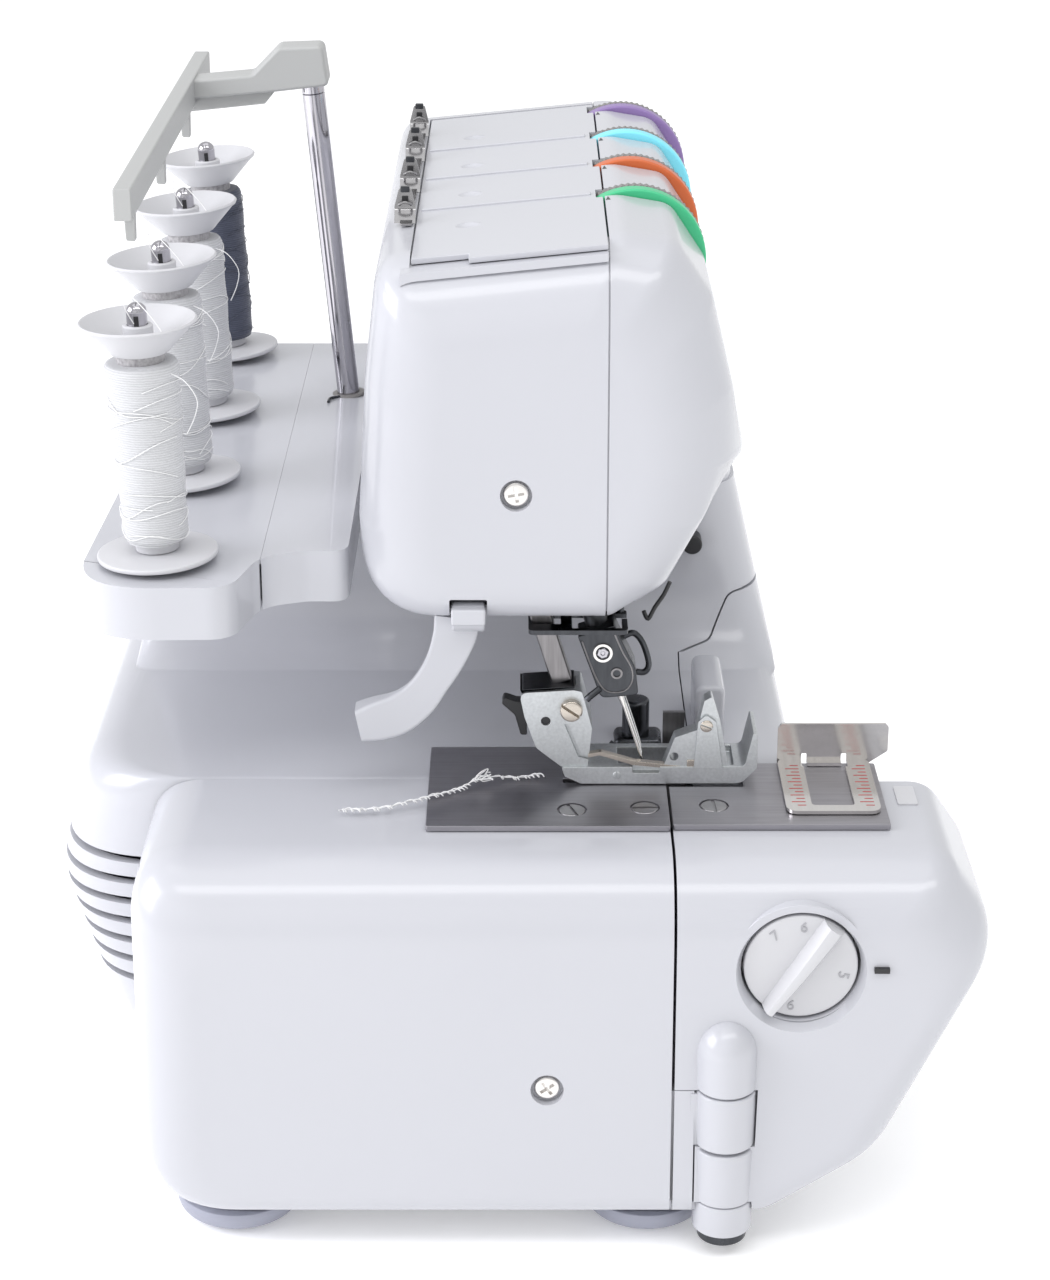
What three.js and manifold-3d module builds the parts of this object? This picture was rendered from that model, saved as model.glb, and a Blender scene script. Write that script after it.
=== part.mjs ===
// Overlock (serger) sewing machine for four threads, in millimetres.
// X runs to the machine's right, Y to its back and Z up. The origin is on the table,
// under the middle of the machine's bounding box.
import * as THREE from 'three';
import { mergeVertices } from 'three/addons/utils/BufferGeometryUtils.js';
import Module from 'manifold-3d';

const wasm = await Module();
wasm.setup();

// ---------------------------------------------------------------- driving dimensions
const GAP = 0.3;                       // clearance between neighbouring pieces
const WALL = 2.6;                      // plastic shell thickness

const NEAR_X = -174.4;                 // left face of the free arm at its foot
const SEAM_X = -97.5;                  // left covers meet the main casing here
const RIGHT_X = 122;                   // right end of the casing
const TRAY_BOTTOM = 8.5;
const TRAY_TOP = 13.7;
const SHELL_BOTTOM = 14;
const BED_Z = 126;                     // top of the sewing bed
const PLATE_TOP = 128.2;
const SPLIT_Y = -51.5;                 // fixed left cover | swing-out cloth plate cover
const DRAFT = 0.068;                   // lean of the moulded left faces, mm per mm of height

const HINGE = { x: -168.85, y: -67.5, r: 9.15 };
const DIAL_AT = { y: -88.9, z: 96.8, r: 17, deep: 9 };

const HEAD_LEFT = -118.5;              // left face of the head at its underside
const HEAD_BOTTOM = 186;
const HEAD_SEAM_Y = -31.5;
const HEAD_TOP = 300.2;                // ridge of the head's top, which falls away to the back
const HEAD_TOP_BACK = 293;
const TENSION = { x: [-37, 6, 49, 92], y: -41.2, z: 279, r: 22.8, wide: 9 };

const TOWER_X = 8;                    // left wall of the right-hand tower
const DECK_TOP = 204;
const DECK_BOTTOM = 187.5;
const SPOOL_X = [-109, -35.7, 37.6, 111];
const SPOOL_Y = 103.5;
const SPOOL_LEAN = [2, 3.4, 3.9, 4.2]; // degrees towards the back

const POLE = { x: 61, y: 56.1, lean: 5.05, r: 3.9, top: 108.1 };
const SHAFT = { y: 18, z: 72, pulley: 20 };    // main shaft and handwheel; pulley is a radius
const MOTOR = { y: 92, z: 58, pulley: 7 };
const VENT = { count: 7, low: 51, pitch: 7.4, high: 2.6 };
const PULLEY_X = 84;                   // left face of both belt pulleys
const NEEDLE_LEAN = 18;                // degrees, top towards the back
const FOOT_X = [-107, -89];            // sides of the presser foot
const FEET_AT = [[-145, 83], [-145, -45], [98, 92], [98, -66]];

// ---------------------------------------------------------------- small tools
const toRight = new THREE.Vector3(1, 0, 0);
const toBack = new THREE.Vector3(0, 1, 0);
const upward = new THREE.Vector3(0, 0, 1);
const ALONG_X = new THREE.Matrix4().makeBasis(toBack, upward, toRight);
const ALONG_Y = new THREE.Matrix4().makeBasis(upward, toRight, toBack);
const radians = THREE.MathUtils.degToRad;

// A closed outline from corners [a, b, radius]; the radius rounds that corner.
function outline(corners) {
  const shape = new THREE.Shape();
  const count = corners.length;
  corners.forEach(([a, b, radius = 0], i) => {
    const here = new THREE.Vector2(a, b);
    const back = new THREE.Vector2(...corners[(i + count - 1) % count]).sub(here).normalize();
    const on = new THREE.Vector2(...corners[(i + 1) % count]).sub(here).normalize();
    const half = Math.acos(THREE.MathUtils.clamp(back.dot(on), -1, 1)) / 2;
    const reach = radius / Math.tan(half);
    const from = here.clone().addScaledVector(back, reach);
    const to = here.clone().addScaledVector(on, reach);
    if (i === 0) shape.moveTo(from.x, from.y);
    else shape.lineTo(from.x, from.y);
    if (radius) shape.quadraticCurveTo(here.x, here.y, to.x, to.y);
  });
  shape.closePath();
  return shape;
}

const rectangle = (a0, b0, a1, b1, radius = 0) =>
  outline([[a0, b0, radius], [a1, b0, radius], [a1, b1, radius], [a0, b1, radius]]);

function extrude(shape, depth, bevel = 0, curveSegments = 3, bevelSegments = 2) {
  const geometry = new THREE.ExtrudeGeometry(shape, {
    depth: depth - 2 * bevel, curveSegments, bevelSegments, bevelEnabled: bevel > 0,
    bevelThickness: bevel, bevelSize: bevel, bevelOffset: -bevel,
  });
  return geometry.translate(0, 0, bevel);
}

// Extrusions by direction: outlines are (y, z), (z, x) and (x, y).
const alongX = (shape, x0, x1, ...rest) =>
  solid(extrude(shape, x1 - x0, ...rest).applyMatrix4(ALONG_X).translate(x0, 0, 0));
const alongY = (shape, y0, y1, ...rest) =>
  solid(extrude(shape, y1 - y0, ...rest).applyMatrix4(ALONG_Y).translate(0, y0, 0));
const alongZ = (shape, z0, z1, ...rest) =>
  solid(extrude(shape, z1 - z0, ...rest).translate(0, 0, z0));

function box(x0, y0, z0, x1, y1, z1) {
  const geometry = new THREE.BoxGeometry(x1 - x0, y1 - y0, z1 - z0);
  return solid(geometry.translate((x0 + x1) / 2, (y0 + y1) / 2, (z0 + z1) / 2));
}

// A turned piece about +Z from profile points [radius, height]; it starts and ends on the axis,
// or closes on itself when it is a ring.
function turned(points, segments = 24) {
  const profile = points.map(([r, h]) => new THREE.Vector2(r, h));
  return solid(new THREE.LatheGeometry(profile, segments).rotateX(Math.PI / 2));
}

function rod(axis, radius, from, to, segments = 20) {
  const long = Math.abs(to - from);
  const geometry = new THREE.CylinderGeometry(radius, radius, long, segments);
  if (axis === 'x') geometry.rotateZ(Math.PI / 2).translate((from + to) / 2, 0, 0);
  if (axis === 'y') geometry.translate(0, (from + to) / 2, 0);
  if (axis === 'z') geometry.rotateX(Math.PI / 2).translate(0, 0, (from + to) / 2);
  return solid(geometry);
}

// three.js geometry -> manifold solid, and back.
function solid(geometry) {
  const bare = geometry.index ? geometry.toNonIndexed() : geometry;
  bare.deleteAttribute('normal');
  bare.deleteAttribute('uv');
  const welded = mergeVertices(bare, 1e-3);
  const index = welded.index.array;
  const triangles = [];
  for (let i = 0; i < index.length; i += 3) {
    const [a, b, c] = [index[i], index[i + 1], index[i + 2]];
    if (a !== b && b !== c && c !== a) triangles.push(a, b, c);
  }
  return new wasm.Manifold(new wasm.Mesh({
    numProp: 3,
    vertProperties: Float32Array.from(welded.attributes.position.array),
    triVerts: Uint32Array.from(triangles),
  }));
}

function surface(manifold) {
  const mesh = manifold.getMesh();
  const geometry = new THREE.BufferGeometry();
  geometry.setAttribute('position', new THREE.BufferAttribute(mesh.vertProperties, 3));
  geometry.setIndex(new THREE.BufferAttribute(mesh.triVerts, 1));
  geometry.computeVertexNormals();
  return geometry;
}

const joined = (...pieces) => pieces.reduce((sum, piece) => sum.add(piece));
const cut = (piece, ...holes) => holes.reduce((rest, hole) => rest.subtract(hole), piece);

function moved(manifold, { at = [0, 0, 0], turn = [0, 0, 0] }) {
  const matrix = new THREE.Matrix4().makeRotationFromEuler(new THREE.Euler(...turn.map(radians)));
  matrix.setPosition(...at);
  return manifold.transform(matrix.elements);
}

// Stands an upright piece at a point, its top leaning towards the back.
const leanedBy = (piece, { x, y, z }, degrees) => moved(piece, { at: [x, y, z], turn: [-degrees, 0, 0] });

// ---------------------------------------------------------------- materials
const paint = (color, roughness, metalness = 0) =>
  () => new THREE.MeshStandardMaterial({ color, roughness, metalness });
const whitePlastic = paint(0xe9eaf0, 0.28);
const greyPlastic = paint(0xc9c9c6, 0.45);
const blackPlastic = paint(0x1c1c1f, 0.4);
const paleRubber = paint(0xb9bac4, 0.85);
const satinSteel = paint(0x7d7a82, 0.42, 0.9);
const brightSteel = paint(0xc8c8c8, 0.2, 1);
const castMetal = paint(0xa3a9ab, 0.5, 0.7);
const darkSteel = paint(0x35373b, 0.35, 0.9);
const whiteThread = paint(0xf2f1ee, 0.95);
const greyThread = paint(0x3a3f4d, 0.95);

// The machine is drawn from its needle side and then centred over the origin.
const CENTRE_X = 14;
const machine = new THREE.Group();
machine.position.x = CENTRE_X;
function add(name, manifold, material) {
  const mesh = new THREE.Mesh(surface(manifold), material());
  mesh.name = name;
  machine.add(mesh);
}

// ---------------------------------------------------------------- free arm and its covers
// Side outline of the free arm in (y, z), pulled in by `inset` for the inner wall.
const armOutline = (inset = 0) => outline([
  [111.5 - inset, SHELL_BOTTOM + inset, 24 - inset],
  [111.5 - inset, BED_Z - inset, 18 - inset],
  [-130 + inset, BED_Z - inset, 10],
  [-148.5 + inset, 103, 20 - inset],
  [-117 + inset * 0.8, 36 + inset, 30],
  [-84 + inset * 0.4, SHELL_BOTTOM + inset, 14],
]);

// The side outline run along X, its ends rounded in front view and in plan. The left face leans
// to the right by DRAFT.
function roundedEnds(side, left, right, inset, { front, plan }) {
  const low = front.low + inset;
  const high = front.high - inset;
  const topLeft = left + DRAFT * (high - low);
  const { rightRadius = 0 } = front;
  const endRadius = rightRadius ? rightRadius - inset : 0;
  const frontView = outline([[low, left, front.lowRadius], [high, topLeft, front.highRadius - inset],
    [high, right, endRadius], [low, right, endRadius / 2]]);
  const planView = outline([[left, plan.near + inset, plan.nearRadius - inset],
    [right, plan.near + inset, endRadius * 0.8], [right, plan.far - inset, endRadius * 0.8],
    [left, plan.far - inset, plan.farRadius - inset]]);
  return alongX(side, left - 1, right + 1)
    .intersect(alongY(frontView, -200, 200))
    .intersect(alongZ(planView, 0, 400));
}

const ARM_ENDS = {
  front: { low: SHELL_BOTTOM, lowRadius: 6, high: BED_Z, highRadius: 24 },
  plan: { near: -148, nearRadius: 22, far: 111.5, farRadius: 20 },
};

function armShell() {
  const outer = roundedEnds(armOutline(), NEAR_X, 0, 0, ARM_ENDS);
  const inner = roundedEnds(armOutline(WALL), NEAR_X + WALL, 10, WALL, ARM_ENDS);
  const feedWindow = box(-112, -50, 110, 0, -15, 140);
  const knifeWindow = box(-112, -76, 110, 0, -49, 140);
  return cut(outer, inner, box(SEAM_X - GAP, -200, 0, 60, 200, 200), feedWindow, knifeWindow);
}

const knuckle = (z0, z1, radius = HINGE.r) =>
  moved(rod('z', radius, z0, z1, 24), { at: [HINGE.x, HINGE.y, 0] });
const KNUCKLES = { fixed: [[8.6, 19], [38.5, 57]], swing: [[19.3, 38.2], [57.3, 68]] };

function leftCover(shell) {
  const back = cut(shell, box(-200, -200, 0, 0, SPLIT_Y + GAP / 2, 200));
  const screwRecess = moved(rod('x', 5.6, -180, -164.6, 24), { at: [0, -13.6, 57.2] });
  let cover = cut(back, screwRecess);
  for (const [z0, z1] of KNUCKLES.fixed) {
    const low = Math.max(z0, SHELL_BOTTOM);
    cover = joined(cover, knuckle(z0, z1), box(-173.5, HINGE.y, low, -168.6, SPLIT_Y + 3, z1));
  }
  return cut(cover, knuckle(0, 100, 2.3));
}

function clothPlateCover(shell) {
  const front = cut(shell, box(-200, SPLIT_Y - GAP / 2, 0, 0, 200, 200));
  const { y, z, r, deep } = DIAL_AT;
  const collar = moved(rod('x', r + 3, -166, -152, 32), { at: [0, y, z] });
  const dialBore = moved(rod('x', r + 0.9, -190, -166 + deep, 32), { at: [0, y, z] });
  const swingRelief = cut(box(-200, HINGE.y, 0, -164, SPLIT_Y, 60), knuckle(-1, 61, 15.8));
  let cover = cut(joined(front, collar), box(SEAM_X - 2, -200, 0, 0, 0, 200), swingRelief);
  for (const [z0, z1] of KNUCKLES.fixed) {
    cover = cut(cover, knuckle(z0 - GAP, z1 + GAP, HINGE.r + 0.6),
      box(-190, HINGE.y, z0 - GAP, -168.2, SPLIT_Y + 1, z1 + GAP));
  }
  const dome = turned([[0, 0], [HINGE.r, 0], [HINGE.r, 4], [7.6, 8.2], [4.4, 11.4], [0, 12.6]], 24);
  cover = joined(cover, moved(dome, { at: [HINGE.x, HINGE.y, 67.4] }));
  for (const [z0, z1] of KNUCKLES.swing) {
    cover = joined(cover, knuckle(z0, z1), box(-175, HINGE.y - 4, z0, -168.4, HINGE.y + 4, z1));
  }
  return cut(cover, knuckle(0, 64, 2.3), dialBore);
}

function widthDial() {
  const { y, z, r, deep } = DIAL_AT;
  const disc = rod('x', r, -168.6, -167 + deep, 36);
  const grip = alongX(rectangle(-r + 0.5, -2.6, r - 0.5, 2.6, 2), -174.6, -167, 1);
  return moved(joined(disc, grip), { turn: [-56, 0, 0], at: [0, y, z] });
}

function hingePin() {
  const pin = joined(rod('z', 2, 4.9, 63, 16), rod('z', 7.6, 4.9, 8.2, 24));
  return moved(pin, { at: [HINGE.x, HINGE.y, 0] });
}

// ---------------------------------------------------------------- base, tray and feet
function foot() {
  return turned([[0, 0], [12, 0], [16.5, 2.2], [19.5, 7], [19.5, 8.2], [0, 8.2]], 24);
}

function bottomTray() {
  const sheet = outline([[-162, -84, 16], [RIGHT_X - 4, -90, 10], [RIGHT_X - 4, 118, 10], [-86, 118, 8],
    [-93, 103, 6], [-162, 103, 22]]);
  return cut(alongZ(sheet, TRAY_BOTTOM, TRAY_TOP), knuckle(0, 20, HINGE.r + 0.6));
}

// Side outline of the main casing below the head in (y, z).
const casingOutline = (inset = 0) => outline([
  [-88 + inset, SHELL_BOTTOM + inset, 8],
  [-100 + inset, 44, 24],
  [-94 + inset, BED_Z - inset, 8 - inset],
  [136 - inset, BED_Z - inset, 16 - inset],
  [146.6 - inset, 84, 30],
  [132 - inset, 36, 26],
  [112 - inset, SHELL_BOTTOM + inset, 14],
]);

const BASE_ENDS = {
  front: { low: SHELL_BOTTOM - 4, lowRadius: 6, high: BED_Z + 4, highRadius: 6 },
  plan: { near: -108, nearRadius: 6, far: 147, farRadius: 34 },
};

const towerOutline = (inset = 0) => outline([
  [-93 + inset, 100], [-94 + inset, BED_Z], [-79 + inset, 190, 12], [-71 + inset, 229 + inset * 0.4],
  [43.9, 229 + inset * 0.4], [43.9 - inset, DECK_BOTTOM - GAP - inset],
  [116 - inset, DECK_BOTTOM - GAP - inset, 6], [128 - inset, BED_Z, 10], [128 - inset, 100],
]);

// Side outline of the head in (y, z); a negative inset grows it into a clearance.
const headOutline = (inset = 0) => outline([
  [43.5 - inset, 215, 14],
  [42 - inset, HEAD_BOTTOM + inset, 22],
  [-36, HEAD_BOTTOM + inset, 8],
  [-50.5 + inset, 193 + inset * 0.6, 8],
  [-60 + inset, 218, 8],
  [-74.5 + inset, 230, 3],
  [-70 + inset, 251, 16],
  [-63 + inset, 281, 9],
  [-52 + inset, 297.5 - inset, 8],
  [-36, HEAD_TOP - inset, 14],
  [37 - inset, HEAD_TOP_BACK - inset, 10],
  [41 - inset, 258, 16],
]);

const headSpace = () => alongX(headOutline(-GAP - 0.1), HEAD_LEFT - 5, RIGHT_X + 20);

// The looper cover closes the front of the base and the lower front corner of the tower. Its
// region in (y, z) steps up on the tower; `gap` shrinks it for the cover itself.
const DOOR = { left: -88, back: -60, low: 22, right: RIGHT_X - 12 };

function doorRegion(gap, lift) {
  const back = DOOR.back - gap;
  const low = DOOR.low + gap;
  const right = DOOR.right - gap;
  const onBed = box(DOOR.left + gap, -200, low, right, back, BED_Z + 4);
  const step = outline([[-200, 110], [back, 110], [back, 130 - gap], [-71 - gap, 133.4 - gap],
    [-77.6 - gap, 148 - gap], [-110, 152 - gap + lift], [-200, 152 - gap + lift]]);
  return joined(onBed, alongX(step, TOWER_X - 20, right), box(TOWER_X - 20, -200, low, right, back, 120));
}

function mainCasing() {
  const base = roundedEnds(casingOutline(), SEAM_X, RIGHT_X, 0, BASE_ENDS);
  const tower = alongX(towerOutline(), TOWER_X, RIGHT_X);
  const rampShape = outline([[BED_Z - 8, TOWER_X - 24], [BED_Z, TOWER_X - 24, 10],
    [BED_Z + 22, TOWER_X + 3], [BED_Z + 22, TOWER_X + 8], [BED_Z - 8, TOWER_X + 8]]);
  const ramp = alongY(rampShape, -50, 112);
  const outer = joined(base, tower, ramp);
  const baseHollow = roundedEnds(casingOutline(WALL), SEAM_X + WALL, RIGHT_X - WALL, WALL, BASE_ENDS);
  const armMouth = box(SEAM_X - 1, -90, 10, SEAM_X + 12, 104, 120);
  const towerHollow = alongX(towerOutline(WALL), TOWER_X + WALL, RIGHT_X - WALL);
  const floorOpening = box(SEAM_X - 1, -70, 10, RIGHT_X - 10, 100, 18);
  let shell = cut(outer, baseHollow, towerHollow, armMouth, floorOpening, headSpace());
  const looperWindow = box(-112, -60.1, 110, -77, -15, 140);
  shell = cut(shell, doorRegion(0, 2.4), looperWindow);
  for (let i = 0; i < VENT.count; i += 1) {
    const low = VENT.low + i * VENT.pitch;
    shell = cut(shell, box(-110, 118, low, -70, 160, low + VENT.high));
  }
  const shaftHole = moved(rod('x', 5, RIGHT_X - 10, RIGHT_X + 10, 20), { at: [0, SHAFT.y, SHAFT.z] });
  const switchHole = box(RIGHT_X - 10, 69.8, 40.6, RIGHT_X + 10, 84.2, 61.4);
  const inletHole = box(RIGHT_X - 10, 88.6, 40.6, RIGHT_X + 10, 115.4, 61.4);
  return cut(shell, shaftHole, switchHole, inletHole);
}

function looperCover() {
  const left = DOOR.left;
  const front = alongX(casingOutline(), left, RIGHT_X);
  const corner = alongX(towerOutline(), TOWER_X + 0.2, RIGHT_X);
  const bed = joined(front.intersect(box(left, -200, 0, TOWER_X - 19, 0, 200)),
    joined(front, corner).intersect(box(TOWER_X - 19, -200, 0, RIGHT_X, 0, 200)));
  const body = bed.intersect(doorRegion(GAP, 0));
  const hollow = joined(
    box(left - 1, -92, 10, TOWER_X + 3, -50, BED_Z - 4),
    box(TOWER_X + 2, -86, 10, DOOR.right - 3, -50, 127),
    box(TOWER_X + 3, -83, 120, DOOR.right - 3, -74.5, 144),
  );
  const lip = alongX(rectangle(-72, 119, -62.4, 144, 3), -66, -38, 1.5);
  return joined(cut(body, hollow), lip);
}

// ---------------------------------------------------------------- plates on the bed
function needlePlate() {
  const sheet = alongZ(rectangle(-136, SPLIT_Y + GAP, -78, 23.2, 0.8), BED_Z + GAP, PLATE_TOP);
  const slots = [-105, -99.2, -93.4].map((x) => box(x, -48, 120, x + 3, -19, 130));
  const looperNotch = box(-87.4, -60, 120, -70, -27, 130);
  return cut(sheet, looperNotch, ...slots);
}

function clothPlate() {
  const sheet = alongZ(rectangle(-135, -118, -90.5, SPLIT_Y - GAP, 0.8), BED_Z + GAP, PLATE_TOP);
  return cut(sheet, box(-108, -75, 120, -80, -50, 130));
}

function seamGuide() {
  const low = PLATE_TOP + GAP;
  const base = alongZ(rectangle(-128.5, -116, -90, -87, 4), low, low + 1.6);
  const window = alongZ(rectangle(-124.5, -108.5, -96, -94.5, 1.5), low - 1, low + 4);
  const fence = alongX(rectangle(-122, low, -87, low + 13.5, 1), -92.5, -90);
  return cut(joined(base, fence), window);
}

// ---------------------------------------------------------------- head
const HEAD_ENDS = {
  front: { low: HEAD_BOTTOM, lowRadius: 10, high: HEAD_TOP, highRadius: 24, rightRadius: 20 },
  plan: { near: -76, nearRadius: 26, far: 43.5, farRadius: 22 },
};

function headShell() {
  const outer = roundedEnds(headOutline(), HEAD_LEFT, RIGHT_X, 0, HEAD_ENDS);
  const inner = roundedEnds(headOutline(WALL), HEAD_LEFT + WALL, RIGHT_X - WALL, WALL, HEAD_ENDS);
  const bottomWindow = box(-111, -44, HEAD_BOTTOM - 10, TOWER_X + 40, -4, HEAD_BOTTOM + 14);
  const towerMouth = box(TOWER_X + 20, -44, HEAD_BOTTOM - 10, RIGHT_X - 20, 30, HEAD_BOTTOM + 14);
  return cut(outer, inner, bottomWindow, towerMouth);
}

const dialSlots = () => TENSION.x.map((x) =>
  moved(rod('x', TENSION.r + 0.8, x - TENSION.wide / 2 - 0.6, x + TENSION.wide / 2 + 0.6, 48),
    { at: [0, TENSION.y, TENSION.z] }));

// The thread channels lie in the head's top; channelSlab is what the head holds under their area
// between two depths below its surface.
const CHANNELS = { left: -102, right: 101, back: 26.5 };

function channelSlab(from, to, margin, frontY) {
  const { left, right, back } = CHANNELS;
  const area = box(left - margin, frontY, 270, right + margin, back + margin, 400);
  return cut(area.intersect(alongX(headOutline(from), left - 10, right + 10)),
    alongX(headOutline(to), left - 10, right + 10));
}

function headCasing(shell) {
  const back = cut(shell, box(-300, -200, 0, 300, HEAD_SEAM_Y + GAP / 2, 400));
  const seat = channelSlab(-3, 2.2, GAP, HEAD_SEAM_Y);
  const seatRim = channelSlab(2.2, 4.6, 3, HEAD_SEAM_Y + GAP / 2);
  const leverSlot = box(-130, 4.4, HEAD_BOTTOM - 4, -107, 15.8, HEAD_BOTTOM + 6.5);
  const screwRecess = moved(rod('x', 5.6, -140, -110.5, 24), { at: [0, -4.3, 226.8] });
  return cut(joined(back, seatRim), seat, leverSlot, screwRecess, ...dialSlots());
}

function headFrontCover(shell) {
  return cut(shell, box(-300, HEAD_SEAM_Y - GAP / 2, 0, 300, 200, 400), ...dialSlots());
}

// Four thread channels: a thin lid with three raised ribs between them.
function channelCover() {
  const lid = channelSlab(0.4, 1.9, 0, HEAD_SEAM_Y + GAP);
  const ribs = TENSION.x.slice(0, 3).map((x) => channelSlab(-0.5, 1, 0, HEAD_SEAM_Y + 4)
    .intersect(box(x - 2, -100, 200, x + 2, CHANNELS.back - 1, 400)));
  return cut(joined(lid, ...ribs), ...dialSlots());
}

function tensionDial(x) {
  const half = TENSION.wide / 2;
  const rim = new THREE.Shape();
  const teeth = 36;
  for (let i = 0; i < teeth; i += 1) {
    const angle = (i / teeth) * 2 * Math.PI;
    const radius = TENSION.r - (i % 2) * 0.5;
    const point = [radius * Math.cos(angle), radius * Math.sin(angle)];
    if (i === 0) rim.moveTo(...point);
    else rim.lineTo(...point);
  }
  rim.closePath();
  const knurled = alongX(rim, -0.5, half);
  const face = rod('x', TENSION.r - 1.4, -half, 0, 36);
  return moved(joined(knurled, face), { at: [x, TENSION.y, TENSION.z] });
}

// One sheet-metal strip behind the channels, folded up into four thread guides.
function guideRail() {
  const low = HEAD_TOP_BACK + 1.3;
  const strip = box(TENSION.x[0] - 22, 27.6, low, TENSION.x[3] - 13, 31.4, low + 1);
  const fold = outline([[26.6, low], [32.6, low], [32.6, low + 4.6], [31, low + 9], [28.2, low + 9],
    [26.6, low + 4.6]]);
  const guides = TENSION.x.map((x) => alongX(fold, x - 21, x - 13.8));
  return joined(strip, ...guides);
}

// ---------------------------------------------------------------- presser and needle
const PRESSER = { x: -98, y: -19.5, z: 157, lean: 17 };
const NEEDLE = { x: -98, y: -44.6, z: 132 };
const LIFTER = { x: -114, z: HEAD_BOTTOM + 1.8 };

function presserLifter() {
  const hub = moved(rod('y', 3.4, 5.2, 15, 20), { at: [LIFTER.x, 0, LIFTER.z] });
  const arm = alongX(outline([[7, 185.4], [20, 185.4, 3], [23.6, 167, 8], [29, 161.5], [44.5, 157.7, 2],
    [44, 146.6, 3], [31, 152.6, 6], [23, 160, 8], [11, 178, 8]]), -112, -108.8);
  const pad = alongX(outline([[26, 161], [44.5, 157.7, 2], [44, 146.6, 3], [31, 152.6, 4]]), -115, -105.6);
  const web = box(-114, 7, 183.2, -109, 14.4, 187.4);
  return joined(hub, arm, pad, web);
}

function presserBar() {
  const bar = box(-3, -3.4, 3.4, 3, 3.4, 60);
  return leanedBy(bar, PRESSER, PRESSER.lean);
}

function presserFoot() {
  const [x0, x1] = FOOT_X;
  const sole = alongX(outline([[-18.2, 134.6, 1], [-19.4, 131], [-24.5, 128.6, 2], [-74.5, 128.6, 3],
    [-79.4, 134, 1], [-79, 145.6, 1], [-75.6, 146.2, 1], [-72.6, 134.6, 2]]), x0, x1);
  const needleGap = box(x0 + 3, -58, 120, x1 - 3, -36, 150);
  const releaseSlot = box(-101, -8.6, 140.6, -95, 0, 157);
  const block = alongX(outline([[-5, 160, 2], [-6.8, 151, 2], [-10, 140, 4], [-18.4, 134, 1],
    [-26.5, 134], [-27.8, 147], [-24.6, 159.2, 1], [-18, 160]]), x0 + 1, x1 - 1);
  const socket = leanedBy(box(-3.5, -3.9, -1.6, 3.5, 3.9, 20), PRESSER, PRESSER.lean);
  const tower = alongX(outline([[-50, 134], [-53.5, 144.6, 2], [-61, 147, 2], [-63.4, 157, 1],
    [-65.6, 158, 1], [-68, 150], [-68.4, 134]]), x0, x0 + 6);
  return cut(joined(sole, block, tower), needleGap, socket, releaseSlot);
}

function footRelease() {
  return alongX(outline([[-5, 153.6], [-0.4, 154.6], [0.4, 151.4], [-4, 147.6], [-6, 142.4],
    [-7.6, 142.4], [-7.2, 147]]), -100.4, -95.6);
}

function needleBar() {
  const rodPart = rod('z', 3.6, 24, 92, 20);
  const clamp = alongX(outline([[-5.6, 24.6, 1.5], [6.4, 28, 1], [6.4, 50, 1], [-5.4, 50, 1],
    [-7.6, 34, 3]]), -7, 4);
  const holes = [-4.6, 1].map((x) => moved(rod('z', 1.15, 0, 40, 12), { at: [x, 0, 0] }));
  return leanedBy(cut(joined(rodPart, clamp), ...holes), NEEDLE, NEEDLE_LEAN);
}

function needle(offset) {
  const blade = turned([[0, 0], [0.45, 4], [0.45, 22], [0.95, 25], [0.95, 36], [0, 36]], 12);
  return leanedBy(moved(blade, { at: [offset, 0, 0] }), NEEDLE, NEEDLE_LEAN);
}

// ---------------------------------------------------------------- loopers, knife and feed
function upperLooper() {
  const post = rod('z', 3, 84, 112, 16);
  const blade = alongX(outline([[-2.4, 110], [2.4, 110], [3.4, 121, 2], [8.6, 131, 2], [7.4, 132.6],
    [-1.8, 123, 3]]), -1.6, 1.6);
  return moved(joined(post, blade), { at: [-84, -42, 0] });
}

function lowerLooper() {
  const arm = alongX(outline([[-5, 78], [5, 78], [4, 100, 4], [-16, 117.6, 3], [-18, 116], [-4, 98, 4]]),
    -1.6, 1.6);
  return moved(joined(arm, rod('x', 5, -6, 6, 16).translate(0, 0, 82)), { at: [-108, -26, 0] });
}

function upperKnife() {
  const holder = box(-86.5, -58.5, 104, -80.5, -50.4, 128);
  const blade = box(-84.3, -57.8, 120, -82.6, -50.9, 143);
  return joined(holder, blade);
}

function feedDog() {
  const bar = box(-106, -44, 112, -90, -23, 119);
  const combs = [-104.6, -98.8, -93].map((x) => {
    let comb = box(x, -42, 118, x + 2.2, -23, 127.4);
    for (let y = -40; y < -24; y += 3) comb = cut(comb, box(x - 1, y, 126.5, x + 3, y + 1.4, 130));
    return comb;
  });
  return joined(bar, ...combs);
}

// ---------------------------------------------------------------- drive
function mainShaft() {
  const shaft = rod('x', 4, -80, RIGHT_X + 1.6);
  const counterweight = rod('x', 12, -62, -50, 24);
  const pulley = rod('x', SHAFT.pulley, PULLEY_X, PULLEY_X + 8, 28);
  return moved(joined(shaft, counterweight, pulley), { at: [0, SHAFT.y, SHAFT.z] });
}

function handwheel() {
  const profile = [[0, 0], [33, 0], [36.5, 3], [37.4, 10], [35.5, 17], [30, 20.4], [24, 22], [18, 25.6],
    [0, 25.7]];
  const wheel = turned(profile, 32).rotate([0, 90, 0]);
  return wheel.translate(RIGHT_X + 2.3, SHAFT.y, SHAFT.z);
}

function motor() {
  const can = moved(rod('x', 22, PULLEY_X - 88, PULLEY_X - 14, 28), { at: [0, MOTOR.y, MOTOR.z] });
  const boss = moved(rod('x', 8, PULLEY_X - 15, PULLEY_X - 9, 20), { at: [0, MOTOR.y, MOTOR.z] });
  const saddle = box(PULLEY_X - 78, MOTOR.y - 17, SHELL_BOTTOM, PULLEY_X - 24, MOTOR.y + 7, 42);
  return joined(can, boss, saddle);
}

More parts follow.
